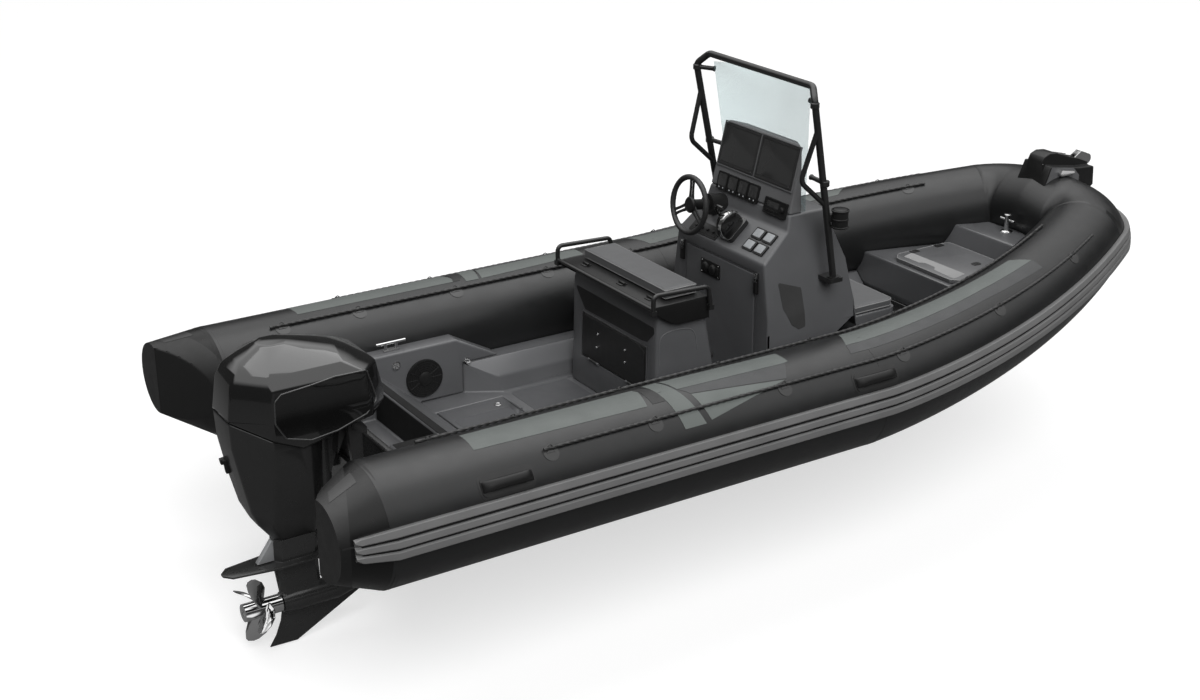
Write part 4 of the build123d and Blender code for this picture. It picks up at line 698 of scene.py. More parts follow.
def groove_shade_bands():
    """Ring angles and lifts across each dark line of painted shade on the strake."""
    bands = []
    for (_, below), (above, _) in zip(STRAKE_RIBS, STRAKE_RIBS[1:]):
        first, last = below - 0.9, above + 0.9
        middle = (first + last) / 2
        bands.append([(first, GROOVE_RIM), (middle - 0.3, GROOVE_FLOOR),
                      (middle + 0.3, GROOVE_FLOOR), (last, GROOVE_RIM)])
    bottom, top = STRAKE_RIBS[0][0], STRAKE_RIBS[-1][1]
    for first, last in ((top - 0.5, top + 1.3), (bottom - 1.3, bottom + 0.3)):
        bands.append([(first, EDGE_SHADE_LIFT), (last, EDGE_SHADE_LIFT)])
    return bands


for side_name, side in SIDES.items():
    steps = stations(STRAKE_START, 0, 0.04) + stations(0, CORNER_S, 0.04)[1:]
    steps += stations(CORNER_S, STEM_S, 0.015)[1:]
    runs = [(STRAKE_START - 0.026, 0.25)] + [(s, 1.0) for s in steps]
    made = Builder()
    rows = made.grid([[tube_point(side, s, a, h) for a, h in strake_section(share)] for s, share in runs])
    made.bm.faces.new(rows[0])
    made.done(f"strake_{side_name}", "hull", "strake_rubber", crease=28,
              replaces=[f"rub_strake_{side_name}"])
    # Dark lines over the strake: painted shade in each groove and where it meets the tube.
    shade_lines = Builder()
    for band in groove_shade_bands():
        shade_lines.grid([[tube_point(side, s, a, h) for a, h in band] for s in steps])
    shade_lines.done(f"strake_shade_lines_{side_name}", "hull", "strake_rubber", "groove_shade", crease=28)


# ---------------- grab lines, their rings and the handles
LINE_RUNS = ((113, -2.300, 2.080), (52, -1.800, 2.150))     # ring angle, first and last x
LINE_RINGS = ((113, (0.38, 0.83, 1.43, 2.03, 2.62, 3.22, 3.85, 4.62)),
              (52, (0.847, 1.43, 2.21, 2.99, 3.74, 4.53)))
ROPE_PITCH = 0.042
STRANDS = 3
RING_PATCH_R = 0.040
LOOP_R = 0.017
LOOP_BAR_R = 0.0026
HANDLES = (0.584, 2.764)
HANDLE_ANGLE = 34
HANDLE_PADS = ((0.145, 10.6, 0.0016), (0.134, 9.2, 0.0055))     # half length, half width in degrees, height
PAD_CORNER = 0.030
WELL_SHADE_HALF = (0.098, 5.4)            # half length, half width in degrees of the painted shade under each grip
WELL_SHADE_CORNERS = ((-1, -0.6), (-0.9, -1), (0.9, -1), (1, -0.6), (1, 0.6), (0.9, 1), (-0.9, 1), (-1, 0.6))


def tube_s(x):
    """Distance along the tube of the ring whose axis point has a given x."""
    if x <= ARC_X:
        return x - TAIL_JOIN_X
    return ARC_S + LONG_R * asin((x - ARC_X) / LONG_R)


def laid_rope(made, side, angle, first_x, last_x):
    """Rope of three strands along the tube."""
    rows = []
    for s in stations(tube_s(first_x), tube_s(last_x), 0.007):
        centre = tube_point(side, s, angle, SEAT_GAP + LINE_R)
        out = tube_normal(side, s, angle)
        ahead = (tube_point(side, s + 0.01, angle) - tube_point(side, s - 0.01, angle)).normalized()
        across = ahead.cross(out)
        row = []
        for t in full_turn(15):
            r = LINE_R * (0.84 + 0.16 * cos(STRANDS * t - 2 * pi * s / ROPE_PITCH))
            row.append(centre + out * r * cos(t) + across * r * sin(t))
        rows.append(row)
    made.closed(rows)


def line_ring(discs, loops, side, s, angle):
    """Round patch a little below a line, with the foot and the loop that hold the line."""
    lean = -1 if angle > 90 else 1
    foot = angle - lean * 2.2
    disc = [(s + RING_PATCH_R * cos(t), angle - lean * 4 + degrees(RING_PATCH_R / TUBE_R) * sin(t))
            for t in full_turn(28)]
    discs.slab(disc, on_tube(side), 0.0022, step=(0.02, 4))
    arch = [tube_point(side, s + LOOP_R, angle - lean * 2.4)]
    for k in range(17):
        t = pi * k / 16
        arch.append(tube_point(side, s + LOOP_R * cos(t), foot + lean * 4.2 * sin(t),
                               0.003 + LOOP_R * sin(t)))
    arch.append(tube_point(side, s - LOOP_R, angle - lean * 2.4))
    loops.sweep(arch, LOOP_BAR_R, segments=8)
    loops.slab(box_outline(s, foot, 0.044, 3.2), on_tube(side), 0.0045)


def pad_outline(s, half_length, half_width):
    """Handle pad with round corners, in distance and ring angle."""
    corner_turn = degrees(PAD_CORNER / TUBE_R)
    shape = []
    for quarter, (u, v) in enumerate(((-1, -1), (1, -1), (1, 1), (-1, 1))):
        for k in range(7):
            t = pi / 2 * (quarter + 2 + k / 6)
            shape.append((s + u * (half_length - PAD_CORNER) + PAD_CORNER * cos(t),
                          HANDLE_ANGLE + v * (half_width - corner_turn) + corner_turn * sin(t)))
    return shape


def handle_grip(grips, side, s):
    """Flat strap, arched over its well and wider at its ends."""
    rows = []
    for u in stations(-1, 1, 0.08):
        lift = 0.004 + 0.030 * (1 - abs(u) ** 6)
        thick = 0.009 - 0.002 * abs(u) ** 3
        wide = 3.9 + 0.9 * abs(u) ** 4
        rows.append([tube_point(side, s + 0.131 * u, HANDLE_ANGLE + wide * cos(t), lift + thick * sin(t))
                     for t in full_turn(16)])
    grips.closed(rows)


for side_name, side in SIDES.items():
    ropes, discs, loops, pads, grips, well_shades = [Builder() for _ in range(6)]
    for run in LINE_RUNS:
        laid_rope(ropes, side, *run)
    for angle, places in LINE_RINGS:
        for s in places:
            line_ring(discs, loops, side, s, angle)
    for s in HANDLES:
        for half_length, half_width, high in HANDLE_PADS:
            pads.slab(pad_outline(s, half_length, half_width), on_tube(side), high, step=(0.05, 4))
        # Near-black patch between pad and grip: painted shade under the arched grip.
        well = [(s + u * WELL_SHADE_HALF[0], HANDLE_ANGLE + v * WELL_SHADE_HALF[1]) for u, v in WELL_SHADE_CORNERS]
        well_shades.slab(well, on_tube(side), 0.0062, step=(0.05, 4))
        handle_grip(grips, side, s)
    ropes.done(f"lifeline_{side_name}", "hull", "rope", crease=60, replaces=[f"grab_lines_{side_name}"])
    discs.done(f"ring_patches_{side_name}", "hull", "tube_fabric", "ring_patch", crease=50)
    loops.done(f"line_rings_{side_name}", "hull", "steel", "black_tube", crease=40)
    well_shades.done(f"handle_well_shades_{side_name}", "hull", "strake_rubber", "dark_fabric_and_shade", crease=40)
    pads.done(f"handle_pads_{side_name}", "hull", "strake_rubber", "handle_rubber", crease=40)
    grips.done(f"handle_grips_{side_name}", "hull", "black_plastic", crease=50,
               replaces=[f"carry_handles_{side_name}"])


# ---------------- mouldings with rounded edges
# node: finish, radius of the edges, shortest edge that is rounded, and steps across the rounding if not 3
MOULDINGS = {
    "hull_shell": ("hull_gelcoat", 0.006, 0.05),
    "cockpit_sole": ("gelcoat", 0.012, 0.06),
    "stern_moulding": ("gelcoat", 0.014, 0.06),
    "foredeck": ("gelcoat", 0.014, 0.06),
    "bow_locker_lid": ("gelcoat_light", 0.006, 0.05),
    "deck_hatch": ("gelcoat", 0.004, 0.05),
    "console_shell": ("gelcoat", 0.014, 0.06),
    "console_hatch": ("gelcoat", 0.004, 0.05),
    "display_pod": ("pod_plastic", 0.010, 0.05),
    "post_shell": ("gelcoat", 0.016, 0.05),
    "post_door": ("black_panel", 0.004, 0.05),
    "seat_tray": ("black_plastic", 0.006, 0.03),
    "forward_seat": ("gelcoat", 0.012, 0.04),
    "engine_cowl": ("engine_black", 0.012, 0.03, 4),
    "midsection": ("engine_satin", 0.012, 0.03, 4),
    "gearcase": ("engine_metal", 0.003, 0.02),
    "bow_housing": ("black_plastic", 0.006, 0.02),
}
moulded = {node: soften(node, *look) for node, look in MOULDINGS.items()}

# finish: CAD pieces whose shape stays
REPAINTED = {
    "black_plastic": ("gauges", "switches", "bottle_holder", "steering_column", "speakers"),
    "black_tube": ("console_hoop", "seat_rails", "footrest"),
    "steel": ("bow_fairlead", "bow_roller", "mooring_bitt", "stern_cleats", "towing_eyes"),
    "chrome": ("nav_lights", "propeller"),
    "engine_metal": ("clamp_bracket", "swivel_bracket"),
    "engine_block": ("powerhead",),
    "bezel": ("displays",),
    "clear_sheet": ("windscreen",),
}
for finish_name, nodes in REPAINTED.items():
    for node in nodes:
        repaint(node, finish_name)


# ---------------- cushions
DRAWN_IN = 0.006            # the form that is blown up is smaller by this on each side
MOST_SWELL = 0.007
CROWN = 0.006
PAD_VOXEL = 0.008
PRESSURE = 4.0
CLOTH_FRAMES = 20
PIPING_R = 0.0032


def kept_inside(point, low, high, gap):
    """The point, moved into a box that is smaller by a gap all round."""
    return Vector([min(max(p, a + gap), b - gap) for p, a, b in zip(point, low, high)])


def evaluated(piece):
    return piece.evaluated_get(bpy.context.evaluated_depsgraph_get())


def blown_up(piece):
    cloth = piece.modifiers.new("cloth", "CLOTH")
    cloth.settings.use_pressure = True
    cloth.settings.uniform_pressure_force = PRESSURE
    cloth.settings.effector_weights.gravity = 0.0
    for frame_number in range(1, CLOTH_FRAMES + 1):
        bpy.context.scene.frame_set(frame_number)
    points = [v.co.copy() for v in evaluated(piece).data.vertices]
    piece.modifiers.clear()
    bpy.context.scene.frame_set(1)
    return points


def add_piping(node, name, tree, low, high):
    """Piping round the pad's upper and lower edge."""
    middle, size = (low + high) / 2, high - low
    piping = Builder()
    for level in (high.z - 0.009, low.z + 0.010):
        path = []
        for t in full_turn(160):
            away = Vector((cos(t) * size.x, sin(t) * size.y, 0))
            start = Vector((middle.x, middle.y, level)) + away * 2
            hit, _, _, _ = tree.ray_cast(start, -away.normalized())
            if hit is not None:
                path.append(hit)
        piping.sweep(path + path[:1], PIPING_R, segments=8, ends=False)
    # The piping's light grey is partly painted highlight along the pad's edges.
    seam = piping.done(f"{name}_piping", BODY_OF[node], SLOT_OF[node], "piping", crease=60)
    for v in seam.data.vertices:
        v.co = kept_inside(v.co, low, high, 0.0002)


def stuffed(node, name, finish_name):
    """Pad blown up from a slightly smaller form, crowned between its edges, with piping."""
    low, high = (Vector(corner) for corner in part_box(node))
    middle, size = (low + high) / 2, high - low
    mesh = NODES[node].data.copy()
    for v in mesh.vertices:
        for k in range(3):
            v.co[k] = middle[k] + (v.co[k] - middle[k]) * (size[k] - 2 * DRAWN_IN) / size[k]
    piece = bpy.data.objects.new(name, mesh)
    bpy.context.scene.collection.objects.link(piece)
    remesh = piece.modifiers.new("remesh", "REMESH")
    remesh.mode = "VOXEL"
    remesh.voxel_size = PAD_VOXEL
    piece.data = bpy.data.meshes.new_from_object(evaluated(piece))
    piece.modifiers.clear()
    for v, end in zip(piece.data.vertices, blown_up(piece)):
        step = end - v.co
        if step.length > MOST_SWELL:
            step *= MOST_SWELL / step.length
        p = v.co + step
        top = max(0.0, (p.z - middle.z) / (size.z / 2))
        along, across = [cos(pi / 2 * min(1, abs(p[k] - middle[k]) / (size[k] / 2))) for k in (0, 1)]
        p.z += CROWN * top * (along * across) ** 0.5
        v.co = kept_inside(p, low, high, 0.0003)
    piece.data.materials.clear()
    piece.data.materials.append(MATERIALS[finish_name])
    bm = bmesh.new()
    bm.from_mesh(piece.data)
    bmesh.ops.subdivide_edges(bm, edges=bm.edges, cuts=1, use_grid_fill=True, smooth=0.5)
    bm.to_mesh(piece.data)
    bm.free()
    piece.data.shade_smooth()
    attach(piece, BODY_OF[node])
    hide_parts(node)
    add_piping(node, name, surface_of(piece), low, high)


stuffed("seat_cushion", "seat_cushion_pad", "cushion_vinyl")
stuffed("forward_seat_pad", "forward_cushion_pad", "pad_vinyl")

# ---------------- console faces
console_aft = on_plane(*aft_plane(0.0412))
dash = on_plane((DASH_FOOT[0], 0, DASH_FOOT[1]), (0, -1, 0), (sin(DASH_LEAN), 0, cos(DASH_LEAN)))
tier = on_plane((TIER_FOOT[0], 0, TIER_FOOT[1]), (0, -1, 0), (cos(TIER_RISE), 0, sin(TIER_RISE)))


def dash_v(z):
    return (z - DASH_FOOT[1]) / cos(DASH_LEAN)


def plate(made, place, u, v, width, height, high, corner=0.006, low=0.0):
    made.slab(rounded(box_outline(u, v, width, height), corner), place, high, low)


def stud(made, place, u, v, radius, high, low=0.0):
    """Domed screw head or button."""
    axis = (place(u, v, 1) - place(u, v, 0)).normalized()
    rise = high - low
    dome = [(radius, 0), (radius, rise * 0.55), (radius * 0.82, rise * 0.9), (radius * 0.3, rise)]
    made.lathe(place(u, v, low), axis, dome, 20)


def frame_ring(made, place, u, v, width, height, bar, high, low=0.0):
    """Raised rectangular rim."""
    du, dv = (width - bar) / 2, (height - bar) / 2
    for end in (1, -1):
        plate(made, place, u, v + end * dv, width, bar, high, 0.001, low)
        plate(made, place, u + end * du, v, bar, height - 2 * bar, high, 0.001, low)


# Screens
SCREEN_Y, SCREEN_Z = 0.170, 1.338
SCREEN_W, SCREEN_H = 0.328, 0.236
ON_SCREEN = 0.0055          # over the dash, where the pieces on the screens, gauges and radio start
ON_GAUGE = 0.0098
ON_RADIO = 0.0138
glass, rims, lips = Builder(), Builder(), Builder()
v = dash_v(SCREEN_Z)
for side in SIDES.values():
    u = -side * SCREEN_Y
    plate(glass, dash, u, v + 0.004, SCREEN_W - 0.030, SCREEN_H - 0.034, 0.0070, 0.004, ON_SCREEN)
    frame_ring(rims, dash, u, v, SCREEN_W - 0.004, SCREEN_H - 0.004, 0.010, 0.0088, ON_SCREEN)
    stud(rims, dash, u + 0.140, v - 0.106, 0.0055, 0.0125, 0.006)
    frame_ring(lips, dash, u, v, SCREEN_W + 0.014, SCREEN_H + 0.018, 0.006, 0.0075, -0.001)
glass.done("screen_panes", "hull", "screen_glass", bevel=0.0006)
rims.done("screen_rims", "hull", "black_plastic", "bezel", bevel=0.0008)
lips.done("screen_surround", "hull", "pod_plastic", bevel=0.0015)

# Gauges and radio
faces, buttons, keys = Builder(), Builder(), Builder()
v = dash_v(1.138)
for y in (0.250, 0.155, 0.060, -0.035):
    plate(faces, dash, -y, v + 0.007, 0.072, 0.068, 0.0125, 0.008, ON_GAUGE)
    for du in (-0.018, 0.018):
        stud(buttons, dash, -y + du, v - 0.038, 0.0046, 0.0140, ON_GAUGE)
    plate(keys, dash, -y, v, 0.090, 0.102, 0.0110, 0.010, -0.001)
    frame_ring(keys, dash, -y, v, 0.088, 0.100, 0.005, 0.0135, ON_GAUGE)
v = dash_v(1.110)
frame_ring(keys, dash, 0.245, v, 0.186, 0.084, 0.005, 0.0165, ON_RADIO)
plate(faces, dash, 0.225, v + 0.012, 0.100, 0.032, 0.0150, 0.003, ON_RADIO)
for k in range(5):
    plate(keys, dash, 0.185 + 0.021 * k, v - 0.024, 0.015, 0.012, 0.0175, 0.002, ON_RADIO)
stud(keys, dash, 0.312, v + 0.002, 0.016, 0.0290, ON_RADIO)
for k in range(4):
    plate(keys, dash, 0.168, v - 0.004 + 0.011 * k, 0.008, 0.005, 0.0168, 0.001, ON_RADIO)
faces.done("gauge_faces", "hull", "screen_glass", bevel=0.0005)
buttons.done("gauge_buttons", "hull", "black_plastic", "button_grey")
keys.done("gauge_bezels", "hull", "black_plastic", bevel=0.0006)

# Switch pads, each with five upright ribs
pads, blocks = Builder(), Builder()
for y in (-0.205, -0.300):
    for up in (0.075, 0.155):
        plate(blocks, tier, -y, up, 0.084, 0.070, 0.0100, 0.006, -0.001)
        plate(pads, tier, -y, up, 0.060, 0.050, 0.0145, 0.005, 0.0088)
        for k in range(5):
            plate(pads, tier, -y - 0.020 + 0.010 * k, up, 0.0034, 0.040, 0.0160, 0.001, 0.0130)
blocks.done("switch_blocks", "hull", "black_plastic", bevel=0.0015)
pads.done("switch_pads", "hull", "screen_glass", "button_grey", bevel=0.0008)

# Panel under the wheel with its knobs, and the small instrument over it
under = Builder()
plate(under, tier, -0.185, 0.052, 0.250, 0.078, 0.0060, 0.008)
plate(under, tier, -0.185, 0.052, 0.226, 0.056, 0.0085, 0.006, 0.005)
plate(under, tier, -0.090, 0.150, 0.092, 0.074, 0.0240, 0.012)
for k in range(4):
    stud(under, tier, -0.265 + 0.053 * k, 0.052, 0.009, 0.018, 0.008)
under.done("helm_panel", "hull", "black_plastic", bevel=0.002)

# Socket panel
SOCKET_U, SOCKET_Z = -0.080, 0.700
SOCKET_CAP = ((0.030, 0), (0.030, 0.006), (0.024, 0.010), (0.024, 0.016), (0.019, 0.018), (0.006, 0.018))
socket, caps = Builder(), Builder()
plate(socket, console_aft, SOCKET_U, SOCKET_Z, 0.176, 0.086, 0.0050, 0.006, -0.001)
for du in (-0.040, 0.030):
    socket.lathe(console_aft(SOCKET_U + du, SOCKET_Z + 0.002, 0.004), (-1, 0, 0), SOCKET_CAP, 28)
plate(socket, console_aft, -0.010, SOCKET_Z, 0.022, 0.044, 0.012, 0.003, 0.004)
for du in (-0.0767, 0.0767):
    for dv in (-0.034, 0.034):
        stud(caps, console_aft, SOCKET_U + du, SOCKET_Z + dv, 0.004, 0.0075, 0.0045)
socket.done("socket_panel", BODY_OF["console_hatch"], "black_plastic", bevel=0.0015)
caps.done("socket_screws", BODY_OF["console_hatch"], "steel")

# Draw latches
PIVOT_Z = 0.752
latches, levers = Builder(), Builder()
for side in SIDES.values():
    u = side * 0.345
    plate(latches, console_aft, u, 0.742, 0.030, 0.122, 0.005, 0.006, -0.002)
    plate(latches, console_aft, u, 0.715, 0.022, 0.060, 0.017, 0.004, 0.004)
    latches.lathe(console_aft(u - 0.016, PIVOT_Z, 0.013), (0, -1, 0), [(0.005, 0), (0.005, 0.032)], 12)
    plate(levers, console_aft, u, 0.784, 0.024, 0.034, 0.014, 0.003, 0.004)
    for du in (-0.008, 0.008):
        bow = [console_aft(u + du, z, h) for z, h in ((PIVOT_Z, 0.014), (0.770, 0.018), (0.792, 0.014))]
        levers.sweep(bow, 0.0022, 8)
latches.done("latch_bases", "hull", "black_plastic", bevel=0.0015)
levers.done("latch_levers", "hull", "steel", bevel=0.001)

# Throttle: a drum on a base, with a chromed rim and its bent lever
DRUM = ((0.055, 0), (0.074, 0.006), (0.079, 0.026), (0.079, 0.050), (0.073, 0.064), (0.052, 0.073),
        (0.012, 0.077))
DRUM_RIM = ((0.0785, 0), (0.0840, 0.004), (0.0840, 0.016), (0.0785, 0.020))
LEVER = ((0, 0.020, 0.020), (-0.030, 0.040, 0.052), (-0.052, 0.052, 0.092), (-0.058, 0.030, 0.108),
         (-0.058, -0.020, 0.108))
LEVER_R = 0.0105
head, rim = Builder(), Builder()
plate(head, tier, 0.015, 0.118, 0.120, 0.158, 0.030, 0.022, SEAT_GAP)
centre = tier(0.0, 0.118, 0.046)
head.lathe(centre + Vector((0, 0.028, 0)), (0, -1, 0), DRUM, 48)
head.sweep(smooth_path([centre + Vector(bend) for bend in LEVER]), LEVER_R, 14)
rim.lathe(centre + Vector((0, -0.010, 0)), (0, -1, 0), DRUM_RIM, 48)
head.done("throttle_head", "hull", "black_plastic", "engine_black", bevel=0.002, replaces=["throttle"])
rim.done("throttle_rim", "hull", "steel", "chrome")

# Recesses in the sides of the console, shown as darker slabs of painted shade
RECESS = ((0.126, 0.752), (0.281, 0.697), (0.306, 0.470), (0.262, 0.462), (0.210, 0.498), (0.150, 0.600))
console_tree = surface_of(moulded["console_shell"])
for side_name, side in SIDES.items():
    shade_in_recess = Builder()
    place = onto(console_tree, *side_plane(side, 0.8))
    shade_in_recess.slab(flipped(rounded(RECESS, 0.012), side), place, 0.0020, -0.002, step=(0.02, 0.02))
    shade_in_recess.done(f"console_side_shade_{side_name}", "hull", "gelcoat", "shade_in_recess", crease=40)

# ---------------- windscreen fittings and bottle holder
CLAMPS = (((0.338, 0.521, 1.303), (0.352, 0.388, 1.303)), ((0.240, 0.524, 1.742), (0.292, 0.428, 1.742)))
CLAMP_COLLAR = ((0.021, 0), (0.0245, 0.004), (0.0245, 0.028), (0.021, 0.032))
clamps = Builder()
for side in SIDES.values():
    for ends in CLAMPS:
        post, screen = [Vector((x, side * y, z)) for x, y, z in ends]
        ahead = (screen - post).normalized()
        arm = [post, post + ahead * 0.03, screen - ahead * 0.012, screen]
        clamps.sweep(arm, [0.016, 0.013, 0.013, 0.017], 18)
        clamps.lathe(post - Vector((0, 0, 0.016)), (0, 0, 1), CLAMP_COLLAR, 24)
clamps.done("screen_clamps", "hull", "black_tube")

HOLDER = Vector((0.420, -0.562, 1.053))
HOLDER_R = 0.0438
cup = Builder()
for height, swell in ((0, 0.004), (0.044, 0.003), (0.092, 0.005)):
    band = [(HOLDER_R, 0), (HOLDER_R + swell, 0.003), (HOLDER_R + swell, 0.009), (HOLDER_R, 0.012)]
    cup.lathe(HOLDER + Vector((0, 0, height)), (0, 0, 1), band, 36)
cup.done("holder_rings", "hull", "black_plastic")

# ---------------- steering wheel
WHEEL_BODY = BODY_OF["steering_wheel"]
RIM_CENTRE_R = 0.156
SPOKE = ((-1, -0.6), (-1, 0.6), (-0.6, 1), (0.6, 1), (1, 0.6), (1, -0.6), (0.6, -1), (-0.6, -1))
SPOKE_THICK = 0.0045
HUB = ((0.030, 0), (0.046, 0.003), (0.047, 0.012), (0.040, 0.020), (0.036, 0.021), (0.035, 0.019),
       (0.018, 0.023), (0.004, 0.024))
wheel_out = Vector((-cos(WHEEL_TILT), 0, sin(WHEEL_TILT)))
wheel_across = Vector((0, -1, 0))
wheel_up = wheel_out.cross(wheel_across).normalized()


def from_hub(turn):
    """Direction from the hub to the rim."""
    return wheel_across * cos(turn) + wheel_up * sin(turn)


def spoke_bar(spokes, turn, shift):
    """One of a spoke's two bars: they part and thin towards its middle."""
    side_dir = from_hub(turn + pi / 2)
    rows = []
    for step in range(9):
        share = step / 8
        bulge = sin(pi * share)
        half = 0.0105 - 0.0030 * bulge
        middle = WHEEL_CENTRE + from_hub(turn) * (0.034 + (RIM_CENTRE_R - 0.030) * share)
        middle += wheel_out * (-0.010 + 0.012 * share) + side_dir * shift * (1.25 - 0.24 * bulge)
        rows.append([middle + side_dir * half * a + wheel_out * SPOKE_THICK * b for a, b in SPOKE])
    spokes.closed(rows)


grip, spokes, hub = Builder(), Builder(), Builder()
rows = []
for t in full_turn(120):
    swell = 0.0152 + 0.0012 * cos(3 * t) ** 2 + 0.0004 * cos(40 * t)
    out = from_hub(t)
    rows.append([WHEEL_CENTRE + out * (RIM_CENTRE_R + swell * cos(a)) + wheel_out * swell * sin(a)
                 for a in full_turn(16)])
grip.grid(rows, closed_u=True, closed_v=True)
for t in full_turn(3):
    for shift in (-0.0115, 0.0115):
        spoke_bar(spokes, pi / 2 + t, shift)
hub.lathe(WHEEL_CENTRE - wheel_out * 0.016, wheel_out, HUB, 40)
grip.done("wheel_grip", WHEEL_BODY, "black_plastic", "rope", crease=70, replaces=["steering_wheel"])
spokes.done("wheel_spokes", WHEEL_BODY, "black_plastic", "engine_satin", crease=40)
hub.done("wheel_hub", WHEEL_BODY, "black_plastic", crease=30)

# ---------------- leaning post
DOOR_BODY = BODY_OF["post_door"]
POST_RECESS = ((0.390, 0.651), (-0.383, 0.645), (-0.393, 0.614), (-0.329, 0.547), (-0.272, 0.539),
               (0.286, 0.535))
LEAF = ((0.300, 0.506), (-0.248, 0.506), (-0.308, 0.480), (-0.312, 0.324), (-0.250, 0.262), (0.262, 0.262),
        (0.300, 0.300))
DOOR_STUDS = ((0.143, 0.433), (0.151, 0.353), (-0.128, 0.432), (-0.130, 0.362))
BEAD = ((-0.648, 0.440), (-0.646, 0.560), (-0.620, 0.606), (-0.540, 0.618), (-0.455, 0.606), (-0.418, 0.566),
        (-0.404, 0.480))
BEHIND_POST = aft_plane(-0.9)
post_tree = surface_of(moulded["post_shell"])
shade_in_recess, leaf, knobs, bead = Builder(), Builder(), Builder(), Builder()
# Black slab over the open slot above the door: painted shade inside it.
shade_in_recess.slab(flipped(rounded(POST_RECESS, 0.014)), onto(post_tree, *BEHIND_POST), 0.0015, -0.002)
shade_in_recess.done("post_slot_shade", "hull", "gelcoat", "black_panel", crease=40)
on_door = onto(surface_of(moulded["post_door"]), *BEHIND_POST)
leaf.slab(flipped(rounded(LEAF, 0.022)), on_door, 0.006, -0.002)
leaf.done("post_door_leaf", DOOR_BODY, "black_plastic", "black_panel", crease=40, bevel=0.003)
for y, z in DOOR_STUDS:
    stud(knobs, on_door, -y, z, 0.0075, 0.0125, 0.005)
knobs.done("post_door_studs", DOOR_BODY, "steel")
# Raised beads on the post's sides; their lighter gelcoat is painted highlight along them.
for side in SIDES.values():
    on_side = onto(post_tree, *side_plane(side, 0.8))
    bead.sweep([on_side(-side * p.x, p.z, 0) for p in smooth_path([(x, 0, z) for x, z in BEAD])], 0.0032, 10)
bead.done("post_bead_highlights", "hull", "gelcoat", "gelcoat_light", crease=50)

TRAY_BARREL = ((0.006, 0), (0.0075, 0.003), (0.0075, 0.053), (0.006, 0.056))
brackets = Builder()
tray_top = on_plane(*level_plane(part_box("seat_tray")[1][2]))
for y in (0.300, -0.060, -0.330):
    plate(brackets, tray_top, -0.650, y, 0.046, 0.052, 0.0045, 0.005, -0.001)
    brackets.lathe(tray_top(-0.650, y - 0.028, 0.009), (0, 1, 0), TRAY_BARREL, 16)
brackets.done("tray_brackets", "hull", "black_plastic", bevel=0.001)

# ---------------- foredeck and bow
LID_BODY = BODY_OF["bow_locker_lid"]
LID_Z = 0.426
LID_HALF = ((1.590, 0.236), (1.646, 0.288), (2.072, 0.288))
LID_TREAD = ((1.728, 0.252), (1.736, -0.214), (1.618, -0.240), (1.628, -0.060), (1.664, -0.026),
             (1.668, 0.064), (1.640, 0.096), (1.640, 0.228))
LID_KNOB = ((0.013, 0), (0.013, 0.003), (0.006, 0.004), (0.003, 0.004))
lid_top = on_plane(*level_plane(LID_Z))
strip, edge_highlight, latch, hinges = Builder(), Builder(), Builder(), Builder()
strip.slab(rounded(LID_TREAD, 0.012), lid_top, 0.0012)
strip.done("lid_tread", LID_BODY, "gelcoat", "tread_light", crease=40)
# Pale bead round the lid's rim: painted highlight where its edge catches the light.
lid_outline = [*LID_HALF, *[(x, -y) for x, y in reversed(LID_HALF)]]
ring = [lid_top(x, y, -0.0015) for x, y in rounded(lid_outline, 0.05, 6)]
edge_highlight.sweep(ring + ring[:1], 0.0020, 8, ends=False)
edge_highlight.done("lid_edge_highlight", LID_BODY, "gelcoat", "gelcoat_highlight", crease=60)
plate(latch, lid_top, 1.920, -0.117, 0.060, 0.046, 0.0030, 0.018, -0.0005)
latch.lathe(lid_top(1.920, -0.117, 0.003), (0, 0, 1), LID_KNOB, 20)
plate(latch, lid_top, 1.800, -0.262, 0.070, 0.030, 0.006, 0.006, -0.0005)
latch.done("lid_latch", LID_BODY, "black_plastic", bevel=0.0008)
for x in (1.760, 1.965):
    plate(hinges, lid_top, x, 0.262, 0.064, 0.036, 0.004, 0.006, -0.0005)
hinges.done("lid_hinge_leaves", LID_BODY, "black_plastic", bevel=0.001)

HOUSING_HALF = 0.114
CHEEK = ((2.458, 0.760), (2.468, 0.845), (2.508, 0.946), (2.705, 0.912), (2.757, 0.860), (2.757, 0.690),
         (2.480, 0.690))
LENS = ((2.570, 0.894), (2.585, 0.918), (2.685, 0.900), (2.690, 0.890))
EDGING_Y = 0.0265
EDGING = ((2.770, 0.962), (2.600, 1.005), (2.500, 1.000))
EDGING_END = ((2.478, 0.030, 0.965), (2.478, -0.066, 0.958))     # the port bar goes on across the aft edge
EDGING_R = 0.0028
cheeks, lens, edging = Builder(), Builder(), Builder()
for side in SIDES.values():
    cheeks.slab(flipped(CHEEK, side), on_plane(*side_plane(side, HOUSING_HALF)), 0.0010)
    lamp_face = on_plane(*side_plane(side, HOUSING_HALF + 0.020))
    lens.slab(rounded(flipped(LENS, side), 0.006), lamp_face, 0.004, -0.001)
    bar = [(x, side * EDGING_Y, z) for x, z in EDGING]
    if side == 1:
        bar += EDGING_END
    edging.sweep(bar, EDGING_R, 8)
cheeks.done("housing_cheeks", "hull", "black_plastic", "gelcoat_light", crease=30)
edging.done("fairlead_edging", "hull", "steel", crease=60)
lens.done("nav_lenses", "hull", "steel", "lens", bevel=0.001)

